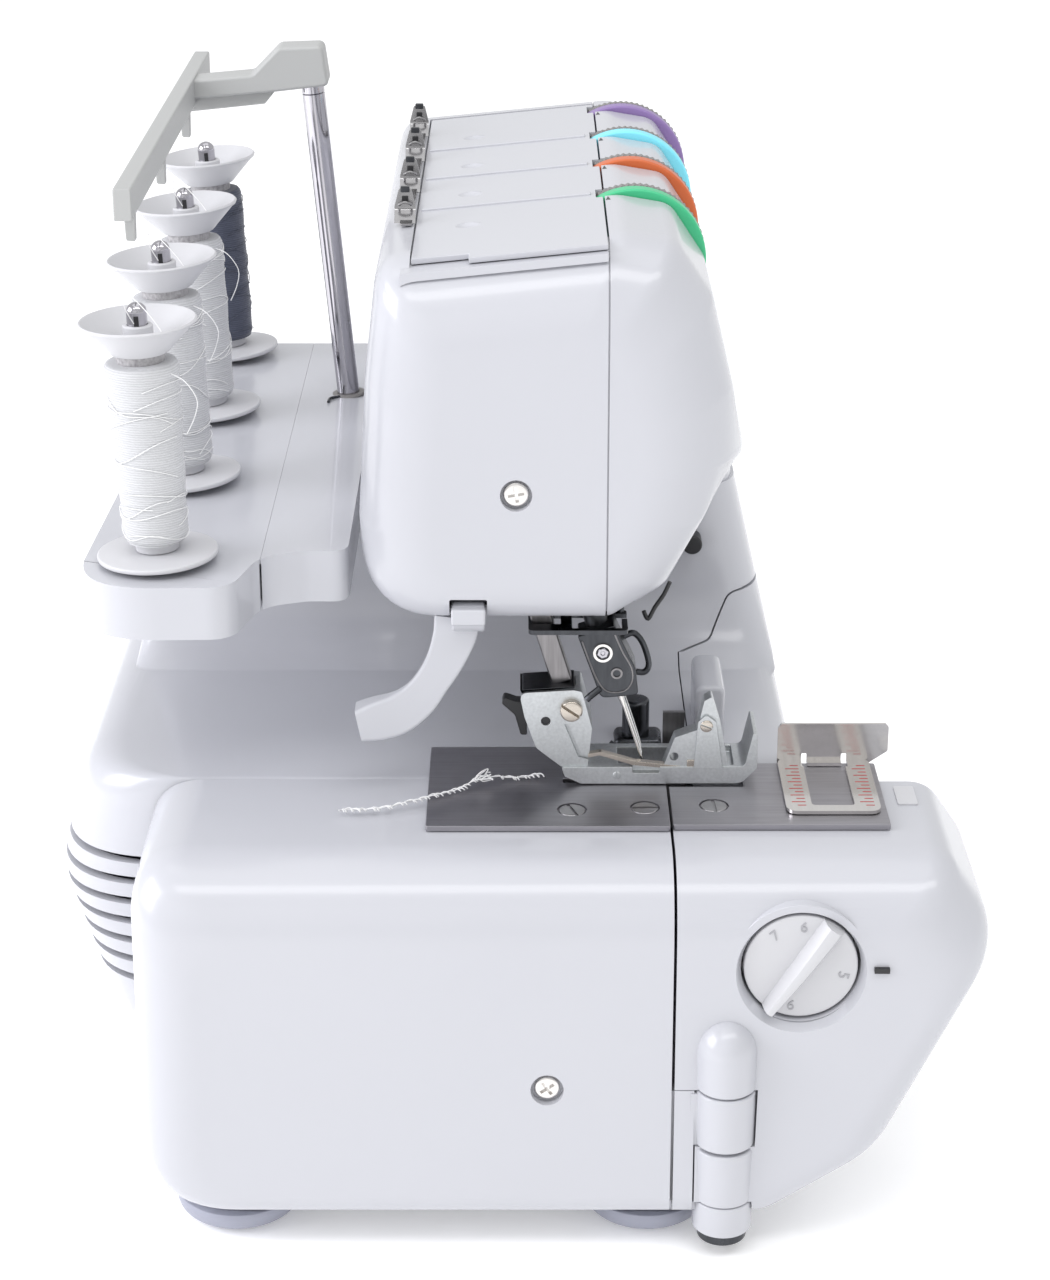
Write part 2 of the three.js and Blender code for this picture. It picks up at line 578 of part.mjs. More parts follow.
function motorPulley() {
  const wheel = rod('x', MOTOR.pulley, PULLEY_X + 0.2, PULLEY_X + 7.8, 20);
  const axle = rod('x', 3, PULLEY_X - 8.6, PULLEY_X + 1, 16);
  return moved(joined(wheel, axle), { at: [0, MOTOR.y, MOTOR.z] });
}

// The toothed belt is a loop round the two pulleys, 1.4 mm thick.
function driveBelt() {
  const toothed = (grow) => {
    const from = new THREE.Vector2(SHAFT.y, SHAFT.z);
    const to = new THREE.Vector2(MOTOR.y, MOTOR.z);
    const along = to.clone().sub(from).angle();
    const open = Math.acos((SHAFT.pulley - MOTOR.pulley) / from.distanceTo(to));
    const shape = new THREE.Shape();
    shape.absarc(from.x, from.y, SHAFT.pulley + grow, along + open, along - open + 2 * Math.PI, false);
    shape.absarc(to.x, to.y, MOTOR.pulley + grow, along - open, along + open, false);
    shape.closePath();
    return shape;
  };
  const outer = alongX(toothed(GAP + 1.4), PULLEY_X + 0.6, PULLEY_X + 7.4, 0, 10);
  return cut(outer, alongX(toothed(GAP), PULLEY_X - 2, PULLEY_X + 10, 0, 10));
}

// ---------------------------------------------------------------- controls on the right end
function sideDial(y, z, radius) {
  const disc = rod('x', radius, RIGHT_X + GAP, RIGHT_X + 8, 32);
  const grip = alongX(rectangle(-radius + 1, -2.2, radius - 1, 2.2, 1.5), RIGHT_X + 6, RIGHT_X + 14, 0.8);
  return moved(joined(disc, grip), { at: [0, y, z] });
}

function powerSwitch() {
  const rocker = outline([[RIGHT_X - 6, 71], [RIGHT_X + 1.4, 71], [RIGHT_X + 0.6, 77, 2],
    [RIGHT_X + 3, 83], [RIGHT_X - 6, 83]]);
  return alongZ(rocker, 41, 61);
}

function powerInlet() {
  const body = box(RIGHT_X - 12, 89, 41, RIGHT_X + 1.2, 115, 61);
  const socket = box(RIGHT_X - 9, 93, 45, RIGHT_X + 4, 111, 57);
  const blades = [98, 106].map((y) => box(RIGHT_X - 10, y - 1, 49, RIGHT_X - 1, y + 1, 53));
  return joined(cut(body, socket), ...blades);
}

// ---------------------------------------------------------------- spool deck and antenna
// Each spool stands on the deck at its own lean, and the antenna pole stands in the shelf.
const onSpool = (piece, i) => leanedBy(piece, { x: SPOOL_X[i], y: SPOOL_Y, z: DECK_TOP }, SPOOL_LEAN[i]);
const onPole = (piece) => leanedBy(piece, { x: POLE.x, y: POLE.y, z: DECK_TOP }, POLE.lean);

function spoolDeck() {
  const lobeX = SPOOL_X[0];
  const right = RIGHT_X + 3;
  const sheet = outline([[lobeX - 23, 80, 10], [lobeX + 2, 73, 8], [right, 73], [right, 118, 10],
    [lobeX, 126, 20], [lobeX - 24, 125, 22]]);
  const pinHoles = SPOOL_X.map((x, i) => onSpool(rod('z', 3.4, -12, 12, 16), i));
  return cut(alongZ(sheet, DECK_BOTTOM, DECK_TOP), ...pinHoles);
}

function deckShelf() {
  const sheet = outline([[-101, 72.4], [-101, 47, 6], [RIGHT_X + 3, 47], [RIGHT_X + 3, 72.4]]);
  return cut(alongZ(sheet, DECK_BOTTOM, DECK_TOP - 0.2), onPole(rod('z', POLE.r + 1.5, -30, 20)));
}

function spoolHolder() {
  return turned([[0, -10], [3, -10], [3, 0.6], [18.3, 2], [18.3, 3.4], [8, 3.8], [2.6, 3.8], [2.6, 76],
    [1.9, 79], [0, 79.8]], 18);
}

function threadSpool() {
  return turned([[3.1, 4.2], [8, 4.2], [8, 6], [9.6, 7.2], [11.3, 60.6], [10.2, 62.6], [6.2, 63],
    [6.2, 65], [3.1, 65], [3.1, 4.2]], 18);
}

function spoolCap() {
  return turned([[3, 65.4], [8.4, 65.4], [10, 66.6], [18.2, 74.2], [18.3, 75.6], [17.2, 75.6], [9, 68.6],
    [5, 68.6], [5, 77], [3, 77], [3, 65.4]], 18);
}

const poleLower = () => {
  const ring = [[2.9, -14], [POLE.r, -14], [POLE.r, POLE.top], [2.9, POLE.top], [2.9, -14]];
  return onPole(turned(ring, 20));
};

// The arm rides on the inner tube and stands square to it: a block on the pole, and a link with a
// rib under it that reaches back to the long guide bar.
const BAR = { left: -111, right: 105, front: 105.7, back: 111, low: 308.4, high: 317.8 };
const FINGER_X = [-101, -28, 42, 100];

function antennaArm() {
  const inner = onPole(rod('z', 2.55, -10, 116, 16));
  const sideways = (shape, half) => onPole(alongX(shape, -half, half));
  const link = sideways(outline([[-6, 111, 2], [-5.4, 124.6, 2.4], [9.6, 125.4, 3], [19.6, 117, 3],
    [43, 117], [43, 110.5], [12.4, 110.5]]), 6.5);
  const rib = sideways(outline([[11, 112], [16.8, 106.2, 1], [43, 105.8], [43, 112]]), 3);
  const bar = alongX(rectangle(BAR.front, BAR.low, BAR.back, BAR.high, 1), BAR.left, BAR.right);
  const fingers = FINGER_X.map((x) =>
    alongX(outline([[106, 309], [109.3, 309], [109, 300.6, 1], [106.2, 300.4, 0.6]]), x - 1.6, x + 1.6));
  return joined(inner, link, rib, bar, ...fingers);
}

// ---------------------------------------------------------------- thread chain on the bed
function threadChain() {
  const low = PLATE_TOP + 1.1;
  const points = [[-103, -12, low + 0.6], [-104, -4, low], [-107, 6, low + 1.6], [-112, 13, low],
    [-117, 21, low], [-120.5, 29, low - 0.6], [-124, 38, low - 1.1], [-125, 49, low - 1.1]];
  const route = new THREE.CatmullRomCurve3(points.map((point) => new THREE.Vector3(...point)));
  const section = new THREE.Shape();
  section.absarc(0, 0, 0.7, 0, 2 * Math.PI, false);
  return solid(new THREE.ExtrudeGeometry(section, { extrudePath: route, steps: 26, curveSegments: 4 }));
}

// ---------------------------------------------------------------- assembly
const arm = armShell();
const head = headShell();

FEET_AT.forEach(([x, y], i) =>
  add(`foot_${i + 1}`, foot().translate(x, y, 0), paleRubber));
add('bottom_tray', bottomTray(), whitePlastic);
add('main_casing', mainCasing(), whitePlastic);
add('left_cover', leftCover(arm), whitePlastic);
add('cloth_plate_cover', clothPlateCover(arm), whitePlastic);
add('hinge_pin', hingePin(), brightSteel);
add('cutting_width_dial', widthDial(), whitePlastic);
add('looper_cover', looperCover(), whitePlastic);
add('needle_plate', needlePlate(), satinSteel);
add('cloth_plate', clothPlate(), satinSteel);
add('seam_guide', seamGuide(), brightSteel);
add('head_casing', headCasing(head), whitePlastic);
add('head_front_cover', headFrontCover(head), whitePlastic);
add('thread_channel_cover', channelCover(), whitePlastic);
const dialColors = [0x46b982, 0xc85f32, 0x78d7eb, 0x8a6ba8];
TENSION.x.forEach((x, i) => add(`tension_dial_${i + 1}`, tensionDial(x), paint(dialColors[i], 0.4)));
add('thread_guide_rail', guideRail(), brightSteel);
add('presser_lifter', presserLifter(), whitePlastic);
add('presser_bar', presserBar(), satinSteel);
add('presser_foot', presserFoot(), castMetal);
add('foot_release', footRelease(), blackPlastic);
add('needle_bar', needleBar(), darkSteel);
add('needle_left', needle(-4.6), brightSteel);
add('needle_right', needle(1), brightSteel);
add('upper_looper', upperLooper(), darkSteel);
add('lower_looper', lowerLooper(), darkSteel);
add('upper_knife', upperKnife(), darkSteel);
add('feed_dog', feedDog(), darkSteel);
add('main_shaft', mainShaft(), brightSteel);
add('handwheel', handwheel(), whitePlastic);
add('motor', motor(), darkSteel);
add('motor_pulley', motorPulley(), brightSteel);
add('drive_belt', driveBelt(), blackPlastic);
add('stitch_length_dial', sideDial(-52, 64, 15), whitePlastic);
add('differential_feed_dial', sideDial(-52, 106, 12), whitePlastic);
add('power_switch', powerSwitch(), blackPlastic);
add('power_inlet', powerInlet(), blackPlastic);
add('spool_deck', spoolDeck(), whitePlastic);
add('deck_shelf', deckShelf(), whitePlastic);
SPOOL_X.forEach((x, i) => {
  add(`spool_holder_${i + 1}`, onSpool(spoolHolder(), i), whitePlastic);
  add(`thread_spool_${i + 1}`, onSpool(threadSpool(), i), i === 3 ? greyThread : whiteThread);
  add(`spool_cap_${i + 1}`, onSpool(spoolCap(), i), whitePlastic);
});
add('antenna_pole', poleLower(), brightSteel);
add('antenna_arm', antennaArm(), greyPlastic);
add('thread_chain', threadChain(), whiteThread);

export default machine;
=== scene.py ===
# Looks of an overlock (serger) sewing machine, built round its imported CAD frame.
import math
import random

import bmesh
import bpy
from mathutils import Matrix, Vector


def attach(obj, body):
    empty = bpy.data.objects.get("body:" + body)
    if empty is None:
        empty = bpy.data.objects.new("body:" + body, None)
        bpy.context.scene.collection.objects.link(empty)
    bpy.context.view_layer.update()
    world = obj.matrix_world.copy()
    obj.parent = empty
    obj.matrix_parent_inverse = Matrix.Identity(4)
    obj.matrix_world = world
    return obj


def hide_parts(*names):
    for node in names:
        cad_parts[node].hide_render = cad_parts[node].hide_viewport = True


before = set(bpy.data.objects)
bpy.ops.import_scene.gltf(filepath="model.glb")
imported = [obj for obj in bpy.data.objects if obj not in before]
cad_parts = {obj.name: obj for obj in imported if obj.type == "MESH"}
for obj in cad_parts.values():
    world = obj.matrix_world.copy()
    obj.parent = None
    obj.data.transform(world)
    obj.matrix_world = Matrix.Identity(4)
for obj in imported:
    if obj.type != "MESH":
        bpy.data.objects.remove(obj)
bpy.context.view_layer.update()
random.seed(7)

# ---------------------------------------------------------------- driving dimensions, mm
CENTRE_X = 14.0
MM = 0.001
TO_FRAME = Matrix.Scale(MM, 4) @ Matrix.Translation((CENTRE_X, 0, 0))

WALL = 2.6
SEAM = 0.45                      # half the visible gap between neighbouring covers
HEAD_SEAM = 0.25                 # and between the two covers of the head
NEAR_X, SEAM_X, RIGHT_X = -174.4, -97.5, 122.0
SHELL_BOTTOM, BED_Z, PLATE_TOP = 14.0, 126.0, 128.2
TRAY_BOTTOM, TRAY_TOP = 8.5, 13.7
SPLIT_Y = -51.5
DRAFT = 0.068
HINGE_X, HINGE_Y, HINGE_R = -168.85, -67.5, 9.15
DIAL_Y, DIAL_Z, DIAL_R, DIAL_DEEP = -88.9, 96.8, 17.0, 9.0
HEAD_LEFT, HEAD_BOTTOM, HEAD_SEAM_Y = -118.5, 186.0, -31.5
HEAD_TOP, HEAD_TOP_BACK = 300.2, 293.0
CREST_Y, TOP_BACK_Y = -36.0, 37.0                # where those two heights are
HEAD_SLOPE = 0.0986                              # (HEAD_TOP - HEAD_TOP_BACK) / (TOP_BACK_Y - CREST_Y)
HEAD_SCREW, BASE_SCREW = (-4.3, 226.8), (-13.6, 57.2)      # (y, z) of the recessed screws
TENSION_X, TENSION_Y, TENSION_Z = [-37, 6, 49, 92], -41.2, 279.0
TENSION_R, TENSION_WIDE = 22.8, 9.0
TOWER_X = 8.0
DECK_BOTTOM, DECK_TOP = 187.5, 204.0
SPOOL_X, SPOOL_Y, SPOOL_LEAN = [-109, -35.7, 37.6, 111], 103.5, [2, 3.4, 3.9, 4.2]
POLE_X, POLE_Y, POLE_LEAN, POLE_R = 61.0, 56.1, 5.05, 3.9
SHAFT_Y, SHAFT_Z = 18.0, 72.0
PIN_HOLE = 2.3                   # radius
VENTS, VENT_LOW, VENT_PITCH, VENT_TALL = 7, 51.0, 7.4, 2.6
SOCKET_LOW, SOCKET_HIGH = 40.6, 61.4             # openings for the power switch and the inlet
CHANNEL_LEFT, CHANNEL_RIGHT, CHANNEL_BACK = -102.0, 101.0, 26.5
DIMPLE_Y = 11.0
GUIDE_X = [-50, -8, 37, 77]
PRESSER = (-98.0, -19.5, 157.0)
PRESSER_LEAN = 17
NEEDLE = (-98.0, -44.6, 132.0)
NEEDLE_LEAN = 18
NEEDLE_OFFSETS = {"needle_left": -4.6, "needle_right": 1.0}
FOOT_LEFT, FOOT_RIGHT = -107.0, -89.0
LIFTER_X, LIFTER_Z = -114.0, 187.8


# ---------------------------------------------------------------- outlines
def outline(corners, steps=9):
    """Closed outline from corners (a, b, radius); a radius rounds its corner."""
    points = []
    count = len(corners)
    for i, corner in enumerate(corners):
        here = Vector(corner[:2])
        radius = corner[2] if len(corner) > 2 else 0
        if not radius:
            points.append(here)
            continue
        back = (Vector(corners[i - 1][:2]) - here).normalized()
        on = (Vector(corners[(i + 1) % count][:2]) - here).normalized()
        half = math.acos(max(-1.0, min(1.0, back.dot(on)))) / 2
        reach = radius / math.tan(half)
        for k in range(steps + 1):
            s = k / steps
            points.append(here + back * reach * (1 - s) ** 2 + on * reach * s ** 2)
    return points


def rectangle(a0, b0, a1, b1, radius=0, steps=6):
    return outline([(a0, b0, radius), (a1, b0, radius), (a1, b1, radius), (a0, b1, radius)], steps)


# ---------------------------------------------------------------- meshes
def in_scene(name, data):
    made = bpy.data.objects.new(name, data)
    bpy.context.scene.collection.objects.link(made)
    return made


def new_object(name, vertices, faces):
    mesh = bpy.data.meshes.new(name)
    mesh.from_pydata([tuple(v) for v in vertices], [], faces)
    build = bmesh.new()
    build.from_mesh(mesh)
    bmesh.ops.remove_doubles(build, verts=build.verts, dist=1e-4)
    bmesh.ops.recalc_face_normals(build, faces=build.faces)
    build.to_mesh(mesh)
    build.free()
    return in_scene(name, mesh)


def loft(rings, closed=False):
    """Solid through rings of equally many points, capped at both ends unless closed."""
    count = len(rings[0])
    vertices = [point for ring in rings for point in ring]
    faces = []
    spans = len(rings) if closed else len(rings) - 1
    for i in range(spans):
        j = (i + 1) % len(rings)
        for k in range(count):
            m = (k + 1) % count
            faces.append((i * count + k, i * count + m, j * count + m, j * count + k))
    if not closed:
        faces.append(tuple(range(count)))
        faces.append(tuple(range((len(rings) - 1) * count, len(rings) * count)))
    return new_object("part", vertices, faces)


def along_x(corners, x0, x1, steps=9):
    points = outline(corners, steps)
    return loft([[(x, a, b) for a, b in points] for x in (x0, x1)])


def along_y(corners, y0, y1, steps=9):
    points = outline(corners, steps)
    return loft([[(b, y, a) for a, b in points] for y in (y0, y1)])


def along_z(corners, z0, z1, steps=9):
    points = outline(corners, steps)
    return loft([[(a, b, z) for a, b in points] for z in (z0, z1)])


def block(x0, y0, z0, x1, y1, z1):
    return along_z([(x0, y0), (x1, y0), (x1, y1), (x0, y1)], z0, z1)


def turned(profile, segments=48, closed=False):
    """Solid of revolution about +Z from (radius, height) points; closed when it is a ring."""
    angles = [2 * math.pi * k / segments for k in range(segments)]
    return loft([[(r * math.cos(a), r * math.sin(a), h) for a in angles] for r, h in profile], closed)


def rounded_profile(points, steps=5):
    """(radius, height, rounding) corners of a turned profile, its first and last points sharp."""
    path = []
    for i, corner in enumerate(points):
        here = Vector(corner[:2])
        radius = corner[2] if len(corner) > 2 else 0
        if not radius or i in (0, len(points) - 1):
            path.append(here)
            continue
        back = Vector(points[i - 1][:2]) - here
        on = Vector(points[i + 1][:2]) - here
        reach = min(radius, back.length * 0.49, on.length * 0.49)
        for k in range(steps + 1):
            s = k / steps
            path.append(here + back.normalized() * reach * (1 - s) ** 2 + on.normalized() * reach * s ** 2)
    return [(max(r, 0.0), h) for r, h in path]


def facing(obj, sign=1, at=(0, 0, 0)):
    """Points a piece drawn along +Z to +X, or to -X with sign -1, and puts its origin at a point."""
    obj.data.transform(Matrix(((0, 0, sign, at[0]), (sign, 0, 0, at[1]), (0, 1, 0, at[2]), (0, 0, 0, 1))))
    return obj


def rod(axis, radius, start, end, rounding=0.3, segments=40, centre=(0, 0)):
    """Round bar along an axis with softened ends; centre is its place across that axis."""
    low, high = min(start, end), max(start, end)
    obj = turned(rounded_profile([(0, low), (radius, low, rounding), (radius, high, rounding), (0, high)]),
                 segments)
    if axis == "x":
        return facing(obj, 1, (0, *centre))
    if axis == "y":
        obj.data.transform(Matrix(((0, 1, 0, centre[0]), (0, 0, 1, 0), (1, 0, 0, centre[1]), (0, 0, 0, 1))))
        return obj
    return moved(obj, at=(*centre, 0))


def heading(points, i):
    """Direction of a path at its point i."""
    return (points[min(i + 1, len(points) - 1)] - points[max(i - 1, 0)]).normalized()


def tube(path, radius, sides=8):
    """Round solid along a path of points, its ends closed."""
    points = [Vector(p) for p in path]
    angles = [2 * math.pi * k / sides for k in range(sides)]
    rings = []
    normal = heading(points, 0).orthogonal().normalized()
    for i, point in enumerate(points):
        along = heading(points, i)
        normal = (normal - along * normal.dot(along)).normalized()
        side = along.cross(normal)
        rings.append([point + (normal * math.cos(a) + side * math.sin(a)) * radius for a in angles])
    return loft(rings)


def smooth_path(points, per_span=6):
    """Catmull-Rom points through the given ones."""
    p = [Vector(points[0])] + [Vector(q) for q in points] + [Vector(points[-1])]
    out = []
    for i in range(1, len(p) - 2):
        for k in range(per_span):
            s = k / per_span
            out.append(0.5 * (2 * p[i] + (p[i + 1] - p[i - 1]) * s
                              + (2 * p[i - 1] - 5 * p[i] + 4 * p[i + 1] - p[i + 2]) * s ** 2
                              + (3 * p[i] - p[i - 1] - 3 * p[i + 1] + p[i + 2]) * s ** 3))
    out.append(p[-2])
    return out


def bake(obj):
    bpy.context.view_layer.update()
    graph = bpy.context.evaluated_depsgraph_get()
    mesh = bpy.data.meshes.new_from_object(obj.evaluated_get(graph))
    old = obj.data
    obj.modifiers.clear()
    obj.data = mesh
    bpy.data.meshes.remove(old)
    return obj


def combine(operation, target, *others):
    for other in others:
        step = target.modifiers.new("combine", "BOOLEAN")
        step.operation = operation
        step.solver = "MANIFOLD"
        step.object = other
        bake(target)
        bpy.data.objects.remove(other)
    return target


def cut(target, *others):
    return combine("DIFFERENCE", target, *others)


def joined(target, *others):
    return combine("UNION", target, *others)


def common(target, *others):
    return combine("INTERSECT", target, *others)


def copy_of(obj):
    twin = obj.copy()
    twin.data = obj.data.copy()
    bpy.context.scene.collection.objects.link(twin)
    return twin


def moved(obj, at=(0, 0, 0), turn=(0, 0, 0)):
    spin = (Matrix.Rotation(math.radians(turn[2]), 4, "Z") @ Matrix.Rotation(math.radians(turn[1]), 4, "Y")
            @ Matrix.Rotation(math.radians(turn[0]), 4, "X"))
    obj.data.transform(Matrix.Translation(at) @ spin)
    return obj


def leaned(obj, at, degrees):
    """Stands an upright piece at a point, its top leaning to the back."""
    return moved(obj, at=at, turn=(-degrees, 0, 0))


def bevelled(obj, width, segments=3, angle=35):
    step = obj.modifiers.new("edges", "BEVEL")
    step.width = width
    step.segments = segments
    step.limit_method = "ANGLE"
    step.angle_limit = math.radians(angle)
    return bake(obj)


def gathered(*objects):
    """Several closed solids as one piece."""
    build = bmesh.new()
    for obj in objects:
        build.from_mesh(obj.data)
    mesh = objects[0].data
    build.to_mesh(mesh)
    build.free()
    for obj in objects[1:]:
        bpy.data.objects.remove(obj)
    return objects[0]


def finish(name, obj, body, look, node=None, sharp=35, slot=None):
    """Turns a drawn solid into a piece of the model, which may stand for a CAD node."""
    obj.name = name
    mesh = obj.data
    mesh.name = name
    mesh.transform(TO_FRAME)
    mesh.materials.clear()
    mesh.materials.append(look)
    mesh.polygons.foreach_set("material_index", [0] * len(mesh.polygons))
    mesh.polygons.foreach_set("use_smooth", [True] * len(mesh.polygons))
    mesh.set_sharp_from_angle(angle=math.radians(sharp))
    step = obj.modifiers.new("normals", "WEIGHTED_NORMAL")
    step.keep_sharp = True
    step.weight = 60
    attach(obj, body)
    if node:
        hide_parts(node)
        slot = slot or SLOTS.get(look.name)
    return obj


# ---------------------------------------------------------------- materials
def material(name, colour, roughness, metallic=0.0, **sockets):
    made = bpy.data.materials.new(name)
    made.use_nodes = True
    shader = made.node_tree.nodes["Principled BSDF"]
    shader.inputs["Base Color"].default_value = (*colour, 1)
    shader.inputs["Roughness"].default_value = roughness
    shader.inputs["Metallic"].default_value = metallic
    for socket, value in sockets.items():
        shader.inputs[socket.replace("_", " ")].default_value = value
    return made


def noise(made, scale, detail=3.0, stretch=(1, 1, 1)):
    """Noise factor over the piece's own coordinates, stretched along its axes."""
    nodes, links = made.node_tree.nodes, made.node_tree.links
    place = nodes.new("ShaderNodeTexCoord")
    stretched = nodes.new("ShaderNodeMapping")
    stretched.inputs["Scale"].default_value = stretch
    texture = nodes.new("ShaderNodeTexNoise")
    texture.inputs["Scale"].default_value = scale
    texture.inputs["Detail"].default_value = detail
    links.new(place.outputs["Object"], stretched.inputs["Vector"])
    links.new(stretched.outputs["Vector"], texture.inputs["Vector"])
    return texture.outputs["Fac"]


def vary(made, factor, socket, low, high, window=(0.3, 0.7)):
    """Drives a shader socket between two values, or two colours, as a factor crosses its window."""
    nodes, links = made.node_tree.nodes, made.node_tree.links
    shader = nodes["Principled BSDF"]
    if isinstance(low, tuple):
        ramp = nodes.new("ShaderNodeValToRGB")
        ramp.color_ramp.elements[0].position = window[0]
        ramp.color_ramp.elements[1].position = window[1]
        ramp.color_ramp.elements[0].color = (*low, 1)
        ramp.color_ramp.elements[1].color = (*high, 1)
        links.new(factor, ramp.inputs["Fac"])
        links.new(ramp.outputs["Color"], shader.inputs[socket])
    else:
        span = nodes.new("ShaderNodeMapRange")
        span.inputs["From Min"].default_value = window[0]
        span.inputs["From Max"].default_value = window[1]
        span.inputs["To Min"].default_value = low
        span.inputs["To Max"].default_value = high
        links.new(factor, span.inputs["Value"])
        links.new(span.outputs["Result"], shader.inputs[socket])


def bump(made, factor, strength, depth):
    nodes, links = made.node_tree.nodes, made.node_tree.links
    relief = nodes.new("ShaderNodeBump")
    relief.inputs["Strength"].default_value = strength
    relief.inputs["Distance"].default_value = depth
    links.new(factor, relief.inputs["Height"])
    links.new(relief.outputs["Normal"], nodes["Principled BSDF"].inputs["Normal"])


def moulded(name, colour, roughness=0.3, shade=0.97, **sockets):
    """Injection-moulded plastic: faint mottling, uneven gloss and a slight orange-peel skin."""
    made = material(name, colour, roughness, **sockets)
    vary(made, noise(made, 14, 2), "Base Color", tuple(c * shade for c in colour), colour, (0, 1))
    vary(made, noise(made, 40, 1), "Roughness", roughness * 0.92, roughness * 1.08, (0, 1))
    bump(made, noise(made, 1600, 1), 0.012, 0.00005)
    return made


def brushed(name, colour, roughness, stretch=(1, 1, 1), grain=900, contrast=0.8, depth=0.12):
    """Ground or rolled metal with grain lines along the unstretched axis."""
    made = material(name, colour, roughness, 1.0)
    lines = noise(made, grain, 3, stretch)
    vary(made, lines, "Base Color", tuple(c * contrast for c in colour), colour)
    vary(made, noise(made, 45, 4), "Roughness", roughness * 0.75, roughness * 1.3)
    bump(made, lines, depth, 0.00008)
    return made


def wound(name, colour, shade, turns):
    """Thread laid side by side round a cone, its colour painted darker in the grooves between turns as shade.
    """
    made = material(name, colour, 0.75, Sheen_Weight=0.35, Sheen_Roughness=0.4)
    nodes, links = made.node_tree.nodes, made.node_tree.links
    place = nodes.new("ShaderNodeTexCoord")
    wave = nodes.new("ShaderNodeTexWave")
    wave.wave_type = "BANDS"
    wave.bands_direction = "Z"
    wave.inputs["Scale"].default_value = turns
    wave.inputs["Distortion"].default_value = 1.6
    wave.inputs["Detail"].default_value = 2
    wave.inputs["Detail Scale"].default_value = 3
    links.new(place.outputs["Object"], wave.inputs["Vector"])
    # painted shade: the colour darkens where the bands sink, in the grooves between turns
    vary(made, wave.outputs["Fac"], "Base Color", tuple(c * shade for c in colour), colour)
    bump(made, wave.outputs["Fac"], 0.35, 0.00025)
    return made


WHITE = moulded("white_plastic", (0.51, 0.515, 0.55), 0.25, 0.97, Coat_Weight=0.25)
WHITE_SATIN = moulded("white_satin", (0.56, 0.56, 0.58), 0.42, 0.97)
TRANSLUCENT = moulded("pale_rubber", (0.34, 0.35, 0.42), 0.45, 0.94)
GREY = moulded("grey_plastic", (0.41, 0.415, 0.41), 0.5, 0.96)
BLACK = moulded("black_plastic", (0.018, 0.018, 0.02), 0.38, 0.8)
DIAL_COLOURS = [moulded(f"dial_{name}", colour, 0.35) for name, colour in (
    ("green", (0.05, 0.50, 0.23)), ("orange", (0.60, 0.13, 0.035)),
    ("cyan", (0.22, 0.74, 0.88)), ("purple", (0.26, 0.17, 0.40)))]
KNURL_GREY = moulded("knurl_grey", (0.23, 0.22, 0.215), 0.5, 0.85)
PLATE = brushed("plate_steel", (0.40, 0.39, 0.415), 0.4, (1, 0.03, 1), 1400, 0.86)
POLISHED = brushed("polished_steel", (0.72, 0.70, 0.68), 0.14, (0.05, 1, 1), 700, 0.94, 0.03)
CHROME = brushed("chrome", (0.47, 0.46, 0.49), 0.09, (1, 1, 0.05), 500, 0.95, 0.015)
CAST = brushed("cast_metal", (0.60, 0.62, 0.63), 0.42, (1, 1, 1), 1100, 0.86, 0.1)
WARM_STEEL = brushed("warm_steel", (0.55, 0.50, 0.44), 0.25, (1, 0.1, 1), 800, 0.85)
DARK = brushed("dark_steel", (0.075, 0.078, 0.085), 0.3, (1, 1, 0.2), 700, 0.8)
BAR_STEEL = brushed("bar_steel", (0.26, 0.25, 0.255), 0.3, (1, 1, 0.08), 800, 0.75)
# the thread guides' steel: a darker copy of the bright steel, painted shade
SHADED_GUIDE_STEEL = brushed("shaded_guide_steel", (0.36, 0.355, 0.36), 0.2, (0.05, 1, 1), 700, 0.9, 0.03)
PLATE_SCREW = brushed("plate_screw", (0.42, 0.41, 0.42), 0.34, (1, 0.1, 1), 900, 0.85)
RUBBER_BLACK = moulded("black_rubber", (0.02, 0.02, 0.021), 0.6, 0.8)
# the third value sets how dark the grooves between turns are painted: painted shade
THREAD = wound("white_thread", (0.58, 0.585, 0.60), 0.84, 420)
THREAD_DARK = wound("dark_thread", (0.075, 0.085, 0.125), 0.7, 420)
THREAD_PLAIN = material("loose_thread", (0.78, 0.78, 0.78), 0.7, Sheen_Weight=0.3)
bump(THREAD_PLAIN, noise(THREAD_PLAIN, 1500, 2), 0.3, 0.0001)
RED_PRINT = moulded("red_print", (0.42, 0.03, 0.03), 0.5)
FELT = material("felt", (0.42, 0.41, 0.42), 0.95, Sheen_Weight=0.4)
vary(FELT, noise(FELT, 900, 4), "Base Color", (0.28, 0.27, 0.28), (0.5, 0.49, 0.5))
bump(FELT, noise(FELT, 1300, 3), 0.5, 0.0003)
PRINT_GREY = moulded("moulded_mark", (0.36, 0.36, 0.38), 0.4)

# the record's slot for each material; finish looks a piece's slot up here but does not give it to the piece
SLOTS = {}
for slot_name, looks in {"white_plastic": [WHITE, WHITE_SATIN], "foot_rubber": [TRANSLUCENT],
                         "grey_plastic": [GREY], "black_plastic": [BLACK], "satin_steel": [PLATE, BAR_STEEL],
                         "bright_steel": [POLISHED, CHROME, SHADED_GUIDE_STEEL], "cast_metal": [CAST],
                         "dark_steel": [DARK], "white_thread": [THREAD, THREAD_PLAIN],
                         "grey_thread": [THREAD_DARK]}.items():
    SLOTS.update({look.name: slot_name for look in looks})

# ---------------------------------------------------------------- covers of the free arm
ARM_OUTLINE = [(111.5, 14, 24), (111.5, 126, 18), (-133.5, 126, 12), (-149.5, 103, 20), (-117, 36, 30),
               (-84, 14, 14)]


def shrink(t, radius):
    """How far a rounded edge has drawn in at distance t from the end face."""
    return radius * (1 - math.sqrt(t / radius)) ** 2 if t < radius else 0.0


